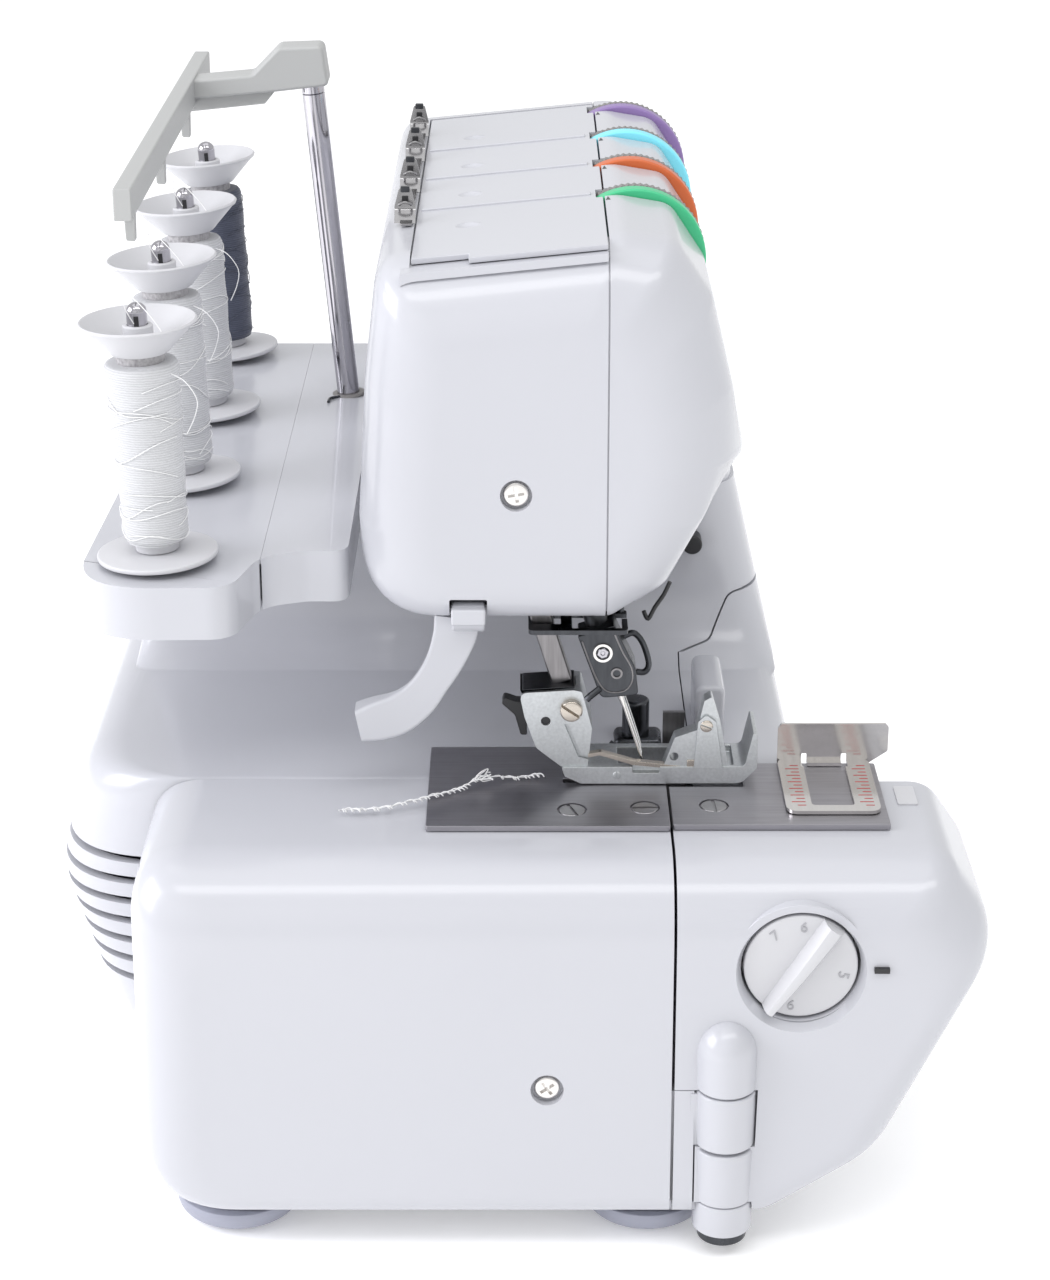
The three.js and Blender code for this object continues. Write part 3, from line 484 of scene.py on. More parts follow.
def drawn_in(points, near, far, low, high):
    """An outline pulled in by its own amount on each of its four sides."""
    y0, z0 = [min(p[axis] for p in points) for axis in (0, 1)]
    y1, z1 = [max(p[axis] for p in points) for axis in (0, 1)]
    return [(y0 + near + (y - y0) * (y1 - y0 - near - far) / (y1 - y0),
             z0 + low + (z - z0) * (z1 - z0 - low - high) / (z1 - z0)) for y, z in points]


def stations(radius, count, rest):
    """Distances from an end face, close together where its edge is rounded, then the rest."""
    return [radius * (k / count) ** 2 for k in range(count + 1)] + list(rest)


def arm_solid(inset=0.0):
    side = outline(ARM_OUTLINE, 12)
    if inset:
        side = [Vector(p) for p in drawn_in(side, inset, inset, inset, inset)]
    left, right = NEAR_X + inset, SEAM_X - SEAM + (4 if inset else 0)
    long = right - left
    rings = []
    for t in stations(26 - inset, 14, (40, 56, long)):
        near, far = shrink(t, 21 - inset), shrink(t, 20 - inset)
        low, high = shrink(t, 7 - inset), shrink(t, 26 - inset)
        rings.append([(left + t + DRAFT * (z - SHELL_BOTTOM) * (1 - t / long), y, z)
                      for y, z in drawn_in(side, near, far, low, high)])
    return loft(rings)


def knuckle(z0, z1, radius=HINGE_R, rounding=0.8):
    return rod("z", radius, z0, z1, rounding, 48, (HINGE_X, HINGE_Y))


FIXED_KNUCKLES = [(8.6, 19), (38.5, 57)]
SWING_KNUCKLES = [(19.3, 37.4), (57.3, 70)]
LEAF_Y = -57.9


def build_left_cover(fixed):
    fixed = cut(fixed, block(-200, -200, 0, 0, SPLIT_Y + SEAM, 200))
    fixed = joined(fixed, rod("x", 6.8, -170.8, -165.4, 0.3, 40, BASE_SCREW))
    fixed = cut(fixed, rod("x", 5.0, -190, -168.6, 0.2, 40, BASE_SCREW))
    leaf = common(cut(arm_solid(), arm_solid(4)), block(-200, LEAF_Y, 15, -150, SPLIT_Y - SEAM, 57))
    fixed = joined(fixed, leaf, block(-169.6, LEAF_Y + 3, 17, -166.8, SPLIT_Y + 3, 56))
    for z0, z1 in FIXED_KNUCKLES:
        web = block(-172, HINGE_Y + 6, max(z0, 15.5), -166, LEAF_Y + 1, z1 - 0.8)
        fixed = joined(fixed, knuckle(z0, z1), web)
    fixed = cut(fixed, knuckle(0, 100, PIN_HOLE, 0.1))
    finish("left_shell", fixed, "machine", WHITE, "left_cover")


def build_cloth_cover(swing):
    (low0, low1), (high0, high1) = SWING_KNUCKLES
    swing = cut(swing, block(-200, SPLIT_Y - SEAM, 0, 0, 200, 200), block(SEAM_X - 2, -200, 0, 0, 0, 200),
                block(-200, LEAF_Y - 0.5, 0, -150, SPLIT_Y, high0))
    swing = joined(swing, rod("x", DIAL_R + 3.6, -167, -152, 0.3, 64, (DIAL_Y, DIAL_Z)))
    for z0, z1 in FIXED_KNUCKLES:
        swing = cut(swing, knuckle(z0 - 0.3, z1 + 0.3, HINGE_R + 0.7, 0.1),
                    block(-190, HINGE_Y, z0 - 0.3, -168.2, LEAF_Y, z1 + 0.3))
    quarter = [math.pi / 2 * k / 12 for k in range(13)]
    dome = turned([(0, high0), (HINGE_R - 0.8, high0), (HINGE_R, high0 + 0.8)]
                  + [(HINGE_R * math.cos(a), high1 - 0.4 + 10.4 * math.sin(a)) for a in quarter])
    swing = joined(swing, moved(dome, at=(HINGE_X, HINGE_Y, 0)), knuckle(low0, low1),
                   along_x(rectangle(HINGE_Y - 9.6, low0, HINGE_Y - 2, low1, 0.6), -172.2, -168.4),
                   along_x(rectangle(HINGE_Y - 4, high0, HINGE_Y + 4, high1, 0.6), NEAR_X, -166))
    chamfer = turned([(0, -3), (21.5, -3), (DIAL_R + 0.9, 2.4), (0, 2.4)], 72)
    well = rod("x", DIAL_R + 0.9, -200, -166 + DIAL_DEEP, 0.2, 72, (DIAL_Y, DIAL_Z))
    swing = cut(swing, knuckle(0, 64, PIN_HOLE, 0.1), facing(chamfer, 1, (-168.9, DIAL_Y, DIAL_Z)), well)
    finish("cloth_cover_shell", swing, "cloth_cover", WHITE, "cloth_plate_cover")


def build_hinge_pin():
    centre = (HINGE_X, HINGE_Y)
    pin = gathered(rod("z", 2, 8, 63, 0.2, 24, centre), rod("z", 7.6, 4.9, 8.2, 0.8, 48, centre))
    finish("hinge_pin_capped", pin, "machine", DARK, "hinge_pin", slot="bright_steel")
    finish("hinge_washer", rod("z", 6.4, 37.65, 38.3, 0.15, 40, centre), "machine", CHROME)


def build_arm_covers():
    """Both covers are shaped as one shell and parted at SPLIT_Y."""
    shell = cut(arm_solid(), arm_solid(WALL))
    shell = cut(shell, block(-112, -50, 110, 0, -15, 140), block(-112, -76, 110, 0, -49, 140))
    swing = copy_of(shell)
    build_left_cover(shell)
    build_cloth_cover(swing)
    build_hinge_pin()


def build_width_dial():
    mark = along_x(rectangle(-115.0, 96.2, -110.4, 97.8, 0.2), -170, -168.1)
    finish("width_index_mark", mark, "cloth_cover", BLACK)
    disc = rod("x", DIAL_R, -166.6, -166.9 + DIAL_DEEP, 0.7, 72)
    ridge = []
    for k in range(15):
        s = -1 + 2 * k / 14
        half = 2.9 - 0.65 * (s + 1)
        y = s * (DIAL_R - 0.3)
        peak = -172.2 + 0.9 * s * s
        ridge.append([(-166.6, y, -half - 0.7), (peak + 1.6, y, -half - 0.1), (peak, y, -half * 0.6),
                      (peak - 0.3, y, 0), (peak, y, half * 0.6), (peak + 1.6, y, half + 0.1),
                      (-166.6, y, half + 0.7), (-165.5, y, half + 0.7), (-165.5, y, -half - 0.7)])
    knob = joined(disc, loft(ridge))
    moved(knob, at=(0, DIAL_Y, DIAL_Z), turn=(-56, 0, 0))
    finish("width_knob", knob, "width_dial", WHITE_SATIN, "cutting_width_dial", 40)
    ring = 13                    # radius of the numbers
    for text, angle in (("5", -13), ("6", 88), ("7", 128), ("9", -101)):
        a = math.radians(angle)
        place = (-166.7, DIAL_Y - ring * math.cos(a), DIAL_Z + ring * math.sin(a))
        digit = facing(moved(number(text, 4.8, 0.3), turn=(0, 0, angle - 90)), -1, place)
        finish(f"width_number_{text}", digit, "width_dial", PRINT_GREY)


def number(text, height, thick):
    """A raised digit lying in the XY plane, centred on the origin."""
    curve = bpy.data.curves.new("digit", "FONT")
    curve.body = text
    curve.size = height
    curve.extrude = thick / 2
    curve.align_x, curve.align_y = "CENTER", "CENTER"
    made = in_scene("digit", curve)
    bpy.context.view_layer.update()
    mesh = bpy.data.meshes.new_from_object(made.evaluated_get(bpy.context.evaluated_depsgraph_get()))
    bpy.data.objects.remove(made)
    return in_scene("digit", mesh)


def screw(name, at, axis, radius, body, look=POLISHED, slot_turn=0.0, cross=False, thick=1.4):
    """A slotted or crossed screw head facing along axis, its face at the given point."""
    head = turned(rounded_profile([(0, -thick), (radius, -thick), (radius, 0, radius * 0.22),
                                   (radius * 0.3, 0.12), (0, 0.12)]), 40)
    half, arm = radius * 0.13, radius * 0.62
    if cross:
        notches = [(-arm, -half, arm, half), (-half, -arm, half, arm)]
    else:
        notches = [(-radius * 1.2, -half, radius * 1.2, half)]
    for x0, y0, x1, y1 in notches:
        notch = block(x0, y0, -thick * 0.6, x1, y1, 1)
        head = cut(head, moved(notch, turn=(0, 0, slot_turn)))
    spin = Vector((0, 0, 1)).rotation_difference(Vector(axis)).to_matrix().to_4x4()
    head.data.transform(Matrix.Translation(at) @ spin)
    return finish(name, head, body, look)


# ---------------------------------------------------------------- casing, tray and feet
CASING_OUTLINE = [(-88, 14, 8), (-100, 44, 24), (-94, 126, 8), (136, 126, 16), (146.6, 84, 30),
                  (132, 36, 26), (112, 14, 14)]


def casing_solid(inset=0.0):
    """Base below the head; its back left corner sweeps out from behind the left cover."""
    side = outline(CASING_OUTLINE, 12)
    if inset:
        side = [Vector(p) for p in drawn_in(side, inset, inset, inset, inset)]
    left, right = SEAM_X + inset, RIGHT_X - inset
    rings = []
    sweep = 38
    for t in stations(sweep, 16, (60, 110)):
        rings.append([(left + t, y, z) for y, z in
                      drawn_in(side, shrink(t, 5), shrink(t, sweep), shrink(t, 5), shrink(t, 1.5))])
    end = stations(14, 8, ())
    for t in reversed(end):
        rings.append([(right - t, y, z) for y, z in
                      drawn_in(side, shrink(t, 14), shrink(t, 14), shrink(t, 10), shrink(t, 10))])
    return loft(rings)


def tower_section(z, inset=0.0):
    """Plan outline of the tower at a height: it flares into the bed and steps back above the deck."""
    flare = 26
    low = BED_Z - 1.2
    left = TOWER_X
    if z < low + flare:
        rise = max(0.0, (z - low) / flare)
        left -= flare * (1 - math.sqrt(max(0.0, 1 - (1 - rise) ** 2)))
    steps = [(100, -93), (126, -94), (190, -79), (229, -71)]
    near = steps[-1][1]
    for (z0, y0), (z1, y1) in zip(steps, steps[1:]):
        if z0 <= z <= z1:
            near = y0 + (y1 - y0) * (z - z0) / (z1 - z0)
    far = 128 - 12 * max(0.0, (z - 126)) / 61.2 if z < DECK_BOTTOM else 43.9
    return outline([(left + inset, near + inset, 17 - inset), (RIGHT_X - inset, near + inset, 10 - inset),
                    (RIGHT_X - inset, far - inset, 10 - inset), (left + inset, far - inset, 9 - inset)], 10)


def tower_solid(inset=0.0):
    heights = [110] + [BED_Z - 1.2 + 26 * (k / 12) ** 2 for k in range(13)] + [165, 187.19]
    lower = loft([[(x, y, z) for x, y in tower_section(z, inset)] for z in heights])
    upper = loft([[(x, y, z) for x, y in tower_section(z, inset)] for z in (187.5, 200, 229 - inset)])
    for vertex in upper.data.vertices:
        if vertex.co.z < 188:
            vertex.co.z = 180
    return joined(lower, upper)


DOOR_LEFT, DOOR_BACK, DOOR_LOW, DOOR_RIGHT = -88.0, -60.0, 22.0, RIGHT_X - 12


def door_region(gap, lift):
    """Space of the looper cover: the front of the base and the tower's lower front corner."""
    back, low, right = DOOR_BACK - gap, DOOR_LOW + gap, DOOR_RIGHT - gap
    step = outline([(-200, 110), (back, 110), (back, 130 - gap), (-71 - gap, 133.4 - gap, 4),
                    (-77.6 - gap, 148 - gap, 5), (-110, 152 - gap + lift), (-200, 152 - gap + lift)])
    return joined(block(DOOR_LEFT + gap, -200, low, right, back, BED_Z + 4),
                  along_x(step, TOWER_X - 20, right), block(TOWER_X - 20, -200, low, right, back, 120))


def head_space():
    return along_x(head_corners(1.0, -0.4), HEAD_LEFT - 5, RIGHT_X + 20, 8)


def build_casing():
    outer = joined(casing_solid(), tower_solid())
    door = copy_of(outer)
    shell = cut(outer, casing_solid(WALL), tower_solid(WALL))
    shell = cut(shell, block(SEAM_X - 1, -90, 10, SEAM_X + 12, 104, 120),
                block(SEAM_X - 1, -70, 10, RIGHT_X - 10, 100, 18), head_space())
    shell = cut(shell, door_region(0, 2.4), block(-112, -60.1, 110, -77, -15, 140))
    for k in range(VENTS):
        z = VENT_LOW + VENT_PITCH * k
        shell = cut(shell, along_y(rectangle(z, -110, z + VENT_TALL, -70, 1.1, 4), 114, 170))
    left, right = RIGHT_X - 10, RIGHT_X + 10
    shell = cut(shell, rod("x", 5, left, right, 0.1, 32, (SHAFT_Y, SHAFT_Z)),
                along_x(rectangle(69.8, SOCKET_LOW, 84.2, SOCKET_HIGH, 0.6), left, right),
                along_x(rectangle(88.6, SOCKET_LOW, 115.4, SOCKET_HIGH, 1), left, right))
    finish("casing_shell", shell, "machine", WHITE, "main_casing")
    build_looper_cover(door)


def build_looper_cover(door):
    cover = common(door, door_region(SEAM, 0))
    hollow = joined(block(DOOR_LEFT - 1, -92, 10, TOWER_X + 3, -50, BED_Z - 4),
                    block(TOWER_X + 2, -86, 10, DOOR_RIGHT - 3, -50, 127),
                    block(TOWER_X + 3, -83, 120, DOOR_RIGHT - 3, -74.5, 144))
    cover = cut(cover, hollow)
    guard = bevelled(along_x(rectangle(-72, 119, -62.4, 144, 3, 8), -66, -38), 1.6, 5, 50)
    finish("looper_cover_shell", joined(cover, guard), "looper_door", WHITE, "looper_cover")


def build_tray_and_feet():
    right = RIGHT_X - 4
    tray = along_z([(-162, -84, 16), (right, -90, 10), (right, 118, 10), (-86, 118, 8),
                    (-93, 103, 6), (-162, 103, 22)], TRAY_BOTTOM, TRAY_TOP)
    tray = cut(tray, knuckle(0, 20, HINGE_R + 0.6, 0.1))
    finish("tray", bevelled(tray, 1.0, 3, 50), "machine", WHITE, "bottom_tray")

    profile = rounded_profile([(0, 0), (14.6, 0, 2), (19.0, 2.8, 3), (20.0, 6.4, 2), (19.8, 8.2, 0.4),
                               (0, 8.2)], 6)
    for i, (x, y) in enumerate([(-145, 83), (-145, -45), (98, 92), (98, -66)]):
        pad = moved(turned(profile, 64), at=(x, y, 0))
        finish(f"foot_pad_{i + 1}", pad, "machine", TRANSLUCENT, f"foot_{i + 1}")


# ---------------------------------------------------------------- head
def head_corners(ridge, inset=0.0):
    """Head outline corners; ridge 0..1 draws out the shelf above its lower front."""
    def mix(plain, full):
        return plain + (full - plain) * ridge

    return [(43.5 - inset, 215, 14), (42 - inset, HEAD_BOTTOM + inset, 22), (-36, HEAD_BOTTOM + inset, 8),
            (mix(-52, -50.5) + inset, mix(196, 193) + inset * 0.6, 8),
            (mix(-64.5, -60) + inset, mix(217, 218), 8),
            (mix(-69.2, -74.5) + inset, mix(236, 230), mix(8, 3)),
            (mix(-69.6, -70) + inset, mix(256, 251), mix(9, 14)), (-63 + inset, 281, 9),
            (-52 + inset, 297.5 - inset, 8), (CREST_Y, HEAD_TOP - inset, 14),
            (TOP_BACK_Y - inset, HEAD_TOP_BACK - inset, 10),
            (41 - inset, 258, 16)]


def head_solid(inset=0.0):
    left, right = HEAD_LEFT + inset, RIGHT_X - inset
    height = HEAD_TOP - HEAD_BOTTOM
    long = right - left
    rings = []
    for t in stations(30, 16, (42, 60, 100, 150)):
        ridge = max(0.0, min(1.0, (t - 3) / 38))
        ridge = ridge * ridge * (3 - 2 * ridge)
        side = outline(head_corners(ridge, inset), 9)
        near, far = shrink(t, 28 - inset), shrink(t, 23 - inset)
        low, high = shrink(t, 13 - inset), shrink(t, 27 - inset)
        lean = max(0.0, 1 - t / 70)
        rings.append([(left + t + DRAFT * (z - HEAD_BOTTOM) * lean, y, z)
                      for y, z in drawn_in(side, near, far, low, high)])
    full = outline(head_corners(1.0, inset), 9)
    for t in reversed(stations(20 - inset, 9, ())):
        side = shrink(t, 16 - inset)
        rings.append([(right - t, y, z) for y, z in
                      drawn_in(full, side, side, shrink(t, 8), shrink(t, 20 - inset))])
    return loft(rings)


def dial_slots():
    return [rod("x", TENSION_R + 0.9, x - TENSION_WIDE / 2 - 0.7, x + TENSION_WIDE / 2 + 0.7, 0.2, 72,
                (TENSION_Y, TENSION_Z)) for x in TENSION_X]


def top_slab(x0, x1, y0, y1, upper, lower):
    """What the head's top holds over an area, between two depths below its surface."""
    below, core = [along_x(head_corners(1.0, depth), x0 - 10, x1 + 10) for depth in (upper, lower)]
    return cut(common(block(x0, y0, 270, x1, y1, 400), below), core)


def channel_slab(upper, lower, margin, front):
    return top_slab(CHANNEL_LEFT - margin, CHANNEL_RIGHT + margin, front, CHANNEL_BACK + margin, upper, lower)


def build_head():
    shell = cut(head_solid(), head_solid(WALL),
                block(-111, -40, HEAD_BOTTOM - 10, TOWER_X + 40, -4, HEAD_BOTTOM + 14),
                block(TOWER_X + 20, -44, HEAD_BOTTOM - 10, RIGHT_X - 20, 30, HEAD_BOTTOM + 14))
    front = copy_of(shell)
    back = cut(shell, block(-300, -200, 0, 300, HEAD_SEAM_Y + HEAD_SEAM, 400))
    lip = common(cut(head_solid(0.7), head_solid(2.2)),
                 block(-300, HEAD_SEAM_Y - HEAD_SEAM + 0.03, 189, 300, HEAD_SEAM_Y + 1.5, 400))
    boss = rod("x", 6.6, -115.0, -109.8, 0.3, 40, HEAD_SCREW)
    back = joined(back, lip, boss, channel_slab(2.2, 4.6, 3, HEAD_SEAM_Y + HEAD_SEAM))
    back = cut(back, channel_slab(-3, 2.2, 0.45, HEAD_SEAM_Y - 1),
               along_x(rectangle(4.4, HEAD_BOTTOM - 4, 15.8, HEAD_BOTTOM + 8.4, 0.8), -130, -107),
               rod("x", 4.8, -140, -112.8, 0.2, 40, HEAD_SCREW), *dial_slots())
    finish("head_shell", back, "machine", WHITE, "head_casing")
    front = cut(front, block(-300, HEAD_SEAM_Y - HEAD_SEAM, 0, 300, 200, 400), *dial_slots())
    finish("head_front_shell", front, "machine", WHITE, "head_front_cover")


def dimple(x):
    """Ball that presses a shallow oval dimple into the lid."""
    radius = 8
    arc = [math.pi * k / 24 for k in range(25)]
    ball = turned([(radius * math.sin(a), radius * (1 - math.cos(a))) for a in arc])
    ball.data.transform(Matrix.Scale(0.85, 4, (1, 0, 0)))
    return moved(ball, at=(x, DIMPLE_Y, HEAD_TOP - (DIMPLE_Y - CREST_Y) * HEAD_SLOPE - 1.3))


def build_channel_lid():
    lid = channel_slab(0.2, 1.9, 0, HEAD_SEAM_Y + HEAD_SEAM)
    lid = cut(lid, block(CHANNEL_LEFT - 1, 9.5, 280, CHANNEL_LEFT + 5, 27, 310))
    lid = cut(bevelled(lid, 0.35, 2, 50), *[dimple(x) for x in (64, 20, -21, -62)])
    ribs = [top_slab(x - 1.4, x + 1.4, HEAD_SEAM_Y + 4, CHANNEL_BACK - 1, -0.4, 1) for x in TENSION_X[:3]]
    lid = cut(joined(lid, *[bevelled(rib, 0.45, 3, 50) for rib in ribs]), *dial_slots())
    finish("channel_lid", lid, "machine", WHITE, "thread_channel_cover")


def build_tension_dials():
    teeth = 72
    left = -TENSION_WIDE / 2
    knurl = []
    for k in range(teeth * 2):
        a = math.pi * k / teeth
        r = TENSION_R - (0.5 if k % 2 else 0)
        knurl.append((r * math.cos(a), r * math.sin(a)))
    for i, x in enumerate(TENSION_X):
        name, place = f"tension_{i + 1}", (x, TENSION_Y, TENSION_Z)
        finish(f"{name}_grip", moved(along_x(knurl, 0.9, -left), at=place), name, KNURL_GREY)
        face = cut(rod("x", TENSION_R - 0.1, left, 1.0, 0.9, 96),
                   rod("x", TENSION_R - 5, left - 1, left + 1.2, 0.2, 72))
        finish(f"{name}_wheel", moved(face, at=place), name, DIAL_COLOURS[i], f"tension_dial_{i + 1}")
        pointer = along_z([(x - 10.6, -33.4), (x - 10.6, -31.95), (x - 6.2, -32.7)], 290, 310)
        pointer = common(pointer, top_slab(x - 12, x - 5, -34, -31, -0.07, 0.2))
        finish(f"{name}_pointer", pointer, "machine", BLACK)


# ---------------------------------------------------------------- thread guides on the head
def build_thread_guides():
    low = HEAD_TOP_BACK + 1.3
    strip = along_z(rectangle(TENSION_X[0] - 22, 27.6, TENSION_X[3] - 13, 31.4, 0.8), low, low + 0.8)
    parts = [bevelled(strip, 0.2, 2)]
    sheet = [(26.7, low - 1), (33.2, low - 1), (33.2, low + 4.4, 1), (31.8, low + 9.7, 0.8),
             (28.0, low + 9.7, 0.8), (26.7, low + 4.4, 1)]
    for i, x in enumerate(GUIDE_X):
        fold = along_y([(low, x - 5.2), (low + 3.6, x - 1.4, 1.6), (low + 9.6, x - 0.7),
                        (low + 9.6, x + 0.1), (low + 4.2, x - 0.5, 1.6), (low, x - 4.2)], 26, 34, 6)
        fold = common(fold, along_x(sheet, x - 10, x + 10, 4))
        parts.append(bevelled(fold, 0.15, 2, 50))
        wire = [(x - 0.6, 28.4, low + 4.6), (x - 3.2, 28.0, low + 5.4), (x - 4.0, 29.9, low + 6.2),
                (x - 3.2, 31.8, low + 5.4), (x - 0.6, 31.4, low + 4.6)]
        parts.append(tube(smooth_path(wire), 0.4))
        tab = bevelled(block(x - 1.2, 28.5, low + 8.6, x + 0.6, 31.3, low + 10.4), 0.3, 2)
        finish(f"thread_guide_tab_{i + 1}", tab, "machine", DARK)
        # black block in the guide's eye: painted shade where the opening is
        slot = bevelled(block(x - 1.6, 28.9, low + 5.2, x - 0.2, 30.9, low + 7.6), 0.2, 2)
        finish(f"thread_guide_eye_shade_{i + 1}", slot, "machine", BLACK)
    # the guides take the darker copy of the bright steel: painted shade
    finish("thread_guides", gathered(*parts), "machine", SHADED_GUIDE_STEEL, "thread_guide_rail")


# ---------------------------------------------------------------- plates and seam guide
PLATE_SCREWS = [(-124.5, -21.4, "machine", 20), (-123.1, -43.8, "machine", 92),
                (-121.6, -65.1, "cloth_cover", 4)]
PLATE_GAP = 0.3                  # under each sheet that lies on another


def screw_recess(i):
    return rod("z", 4.6, PLATE_TOP - 0.9, PLATE_TOP + 2, 0.05, 48, PLATE_SCREWS[i][:2])


def build_plates():
    low = BED_Z + PLATE_GAP
    plate = along_z(rectangle(-136, SPLIT_Y + 0.4, -78, 23.2, 0.8), low, PLATE_TOP)
    plate = cut(plate, block(-87.4, -60, 120, -70, -27, 130),
                *[block(x, -48, 120, x + 3, -19, 130) for x in (-105, -99.2, -93.4)])
    plate = cut(bevelled(plate, 0.25, 2), screw_recess(0), screw_recess(1))
    finish("needle_plate_ground", plate, "machine", PLATE, "needle_plate")
    cloth = along_z(rectangle(-135, -118, -90.5, SPLIT_Y - 0.4, 0.8), low, PLATE_TOP)
    cloth = bevelled(cut(cloth, block(-108, -75, 120, -80, -50, 130)), 0.25, 2)
    finish("cloth_plate_ground", cut(cloth, screw_recess(2)), "cloth_cover", PLATE, "cloth_plate")
    for i, (x, y, body, turn) in enumerate(PLATE_SCREWS):
        place = (x, y, PLATE_TOP - 0.1)
        screw(f"plate_screw_{i + 1}", place, (0, 0, 1), 4.1, body, PLATE_SCREW, turn, thick=0.8)
    tab = along_z(rectangle(-117, -128.6, -104, -122.4, 0.8), BED_Z + 0.02, BED_Z + 0.5)
    finish("cover_notch_tab", tab, "cloth_cover", WHITE_SATIN)


def build_seam_guide():
    low = PLATE_TOP + PLATE_GAP
    base = along_z(rectangle(-128.5, -116, -90, -87, 4, 8), low, low + 1.1)
    base = cut(base, along_z(rectangle(-124.2, -108.2, -93.4, -95, 1.4), low - 1, low + 4))
    fence = along_x([(-116, low, 0.4), (-122, low + 4.2, 0.8), (-122, low + 12.6, 1),
                     (-121, low + 13.5, 0.5), (-88, low + 13.5, 1.5), (-87, low + 12, 1),
                     (-87, low, 0.2)], -91.1, -90)
    slots = [along_x(rectangle(y, low - 0.5, y + 1.8, low + 3.4, 0.6), -96, -88) for y in (-109, -96.4)]
    guide = bevelled(cut(joined(base, fence), *slots), 0.25, 2)
    finish("seam_guide_sheet", guide, "seam_guide", POLISHED, "seam_guide")
    marks = []
    for y in (-114.2, -93.2):
        for k in range(13):
            x = -124.5 + 2.4 * k
            long = 4.2 if k % 2 else 2.6
            marks.append(block(x, y, low + 1.08, x + 0.35, y + long, low + 1.16))
    finish("seam_guide_scale", gathered(*marks), "seam_guide", RED_PRINT)


# ---------------------------------------------------------------- presser, needles and foot
ANKLE_HOLE = (-13.4, 149.6)      # (y, z)


def on_presser_bar(obj):
    return leaned(obj, PRESSER, PRESSER_LEAN)


def build_presser_bar():
    bar = bevelled(block(-3, -3.2, 3.4, 3, 3.2, 60), 0.7, 3)
    finish("presser_bar_ground", on_presser_bar(bar), "presser", BAR_STEEL, "presser_bar")


def build_presser_ankle():
    ankle = along_x([(-5.2, 159, 2.4), (-6.8, 151, 2), (-10.4, 140.5, 5), (-18.4, 134, 2),
                     (-26.5, 134, 0.4), (-27.8, 147, 1), (-24.6, 159.4, 1), (-22, 160, 0.4)],
                    FOOT_LEFT + 1, FOOT_RIGHT - 1)
    groove = outline([(-19.2, 148.6, 0.3), (-23.6, 137.4, 0.4), (-26.8, 136.6), (-26.8, 137.7),
                      (-24.3, 138.6, 0.6), (-20.4, 148.8, 0.3)])
    ankle = cut(ankle, on_presser_bar(block(-3.5, -3.9, -1.6, 3.5, 3.9, 20)),
                block(-101, -8.6, 140.6, -95, 0, 157), along_x(groove, FOOT_LEFT, FOOT_LEFT + 2.2),
                rod("x", 1.5, FOOT_LEFT, FOOT_LEFT + 2, 0.1, 24, ANKLE_HOLE))
    finish("presser_ankle", bevelled(ankle, 0.35, 2, 40), "presser", CAST, "presser_foot")


def build_presser_sole():
    left, right = FOOT_LEFT, FOOT_RIGHT
    sole = along_x([(-18.2, 134.4, 1), (-19.4, 131, 0.6), (-24.5, 128.6, 2), (-74.5, 128.6, 5),
                    (-79.4, 134, 1), (-79.2, 145.4, 0.4), (-77.8, 145.8, 0.4), (-75.4, 134.6, 2)],
                   left, right)
    sole = cut(sole, block(left + 3, -58, 120, right - 3, -36, 150),
               along_x(rectangle(-49, 132.4, -40.5, 138, 0.6), left - 1, left + 2),
               block(left + 1.6, -72, 132.4, right - 1.6, -58, 150))
    tower = along_x([(-50, 134), (-53.5, 144.2, 1), (-60.4, 146.8, 1), (-62.4, 156.6, 0.6),
                     (-64.8, 158, 0.6), (-67.8, 148, 1), (-70.5, 134)], left + 0.5, left + 6)
    tower = cut(tower, rod("x", 1.4, left - 1, left + 9, 0.1, 24, (-53.4, 137.8)))
    post = along_x([(-59.5, 134), (-60.5, 150, 1.5), (-63, 152.4, 1.5), (-66.2, 150, 1.5),
                    (-68.6, 134)], left - 0.6, left + 1)
    parts = [bevelled(part, 0.3, 2, 40) for part in (sole, tower, post)]
    finish("presser_sole", gathered(*parts), "presser", CAST)


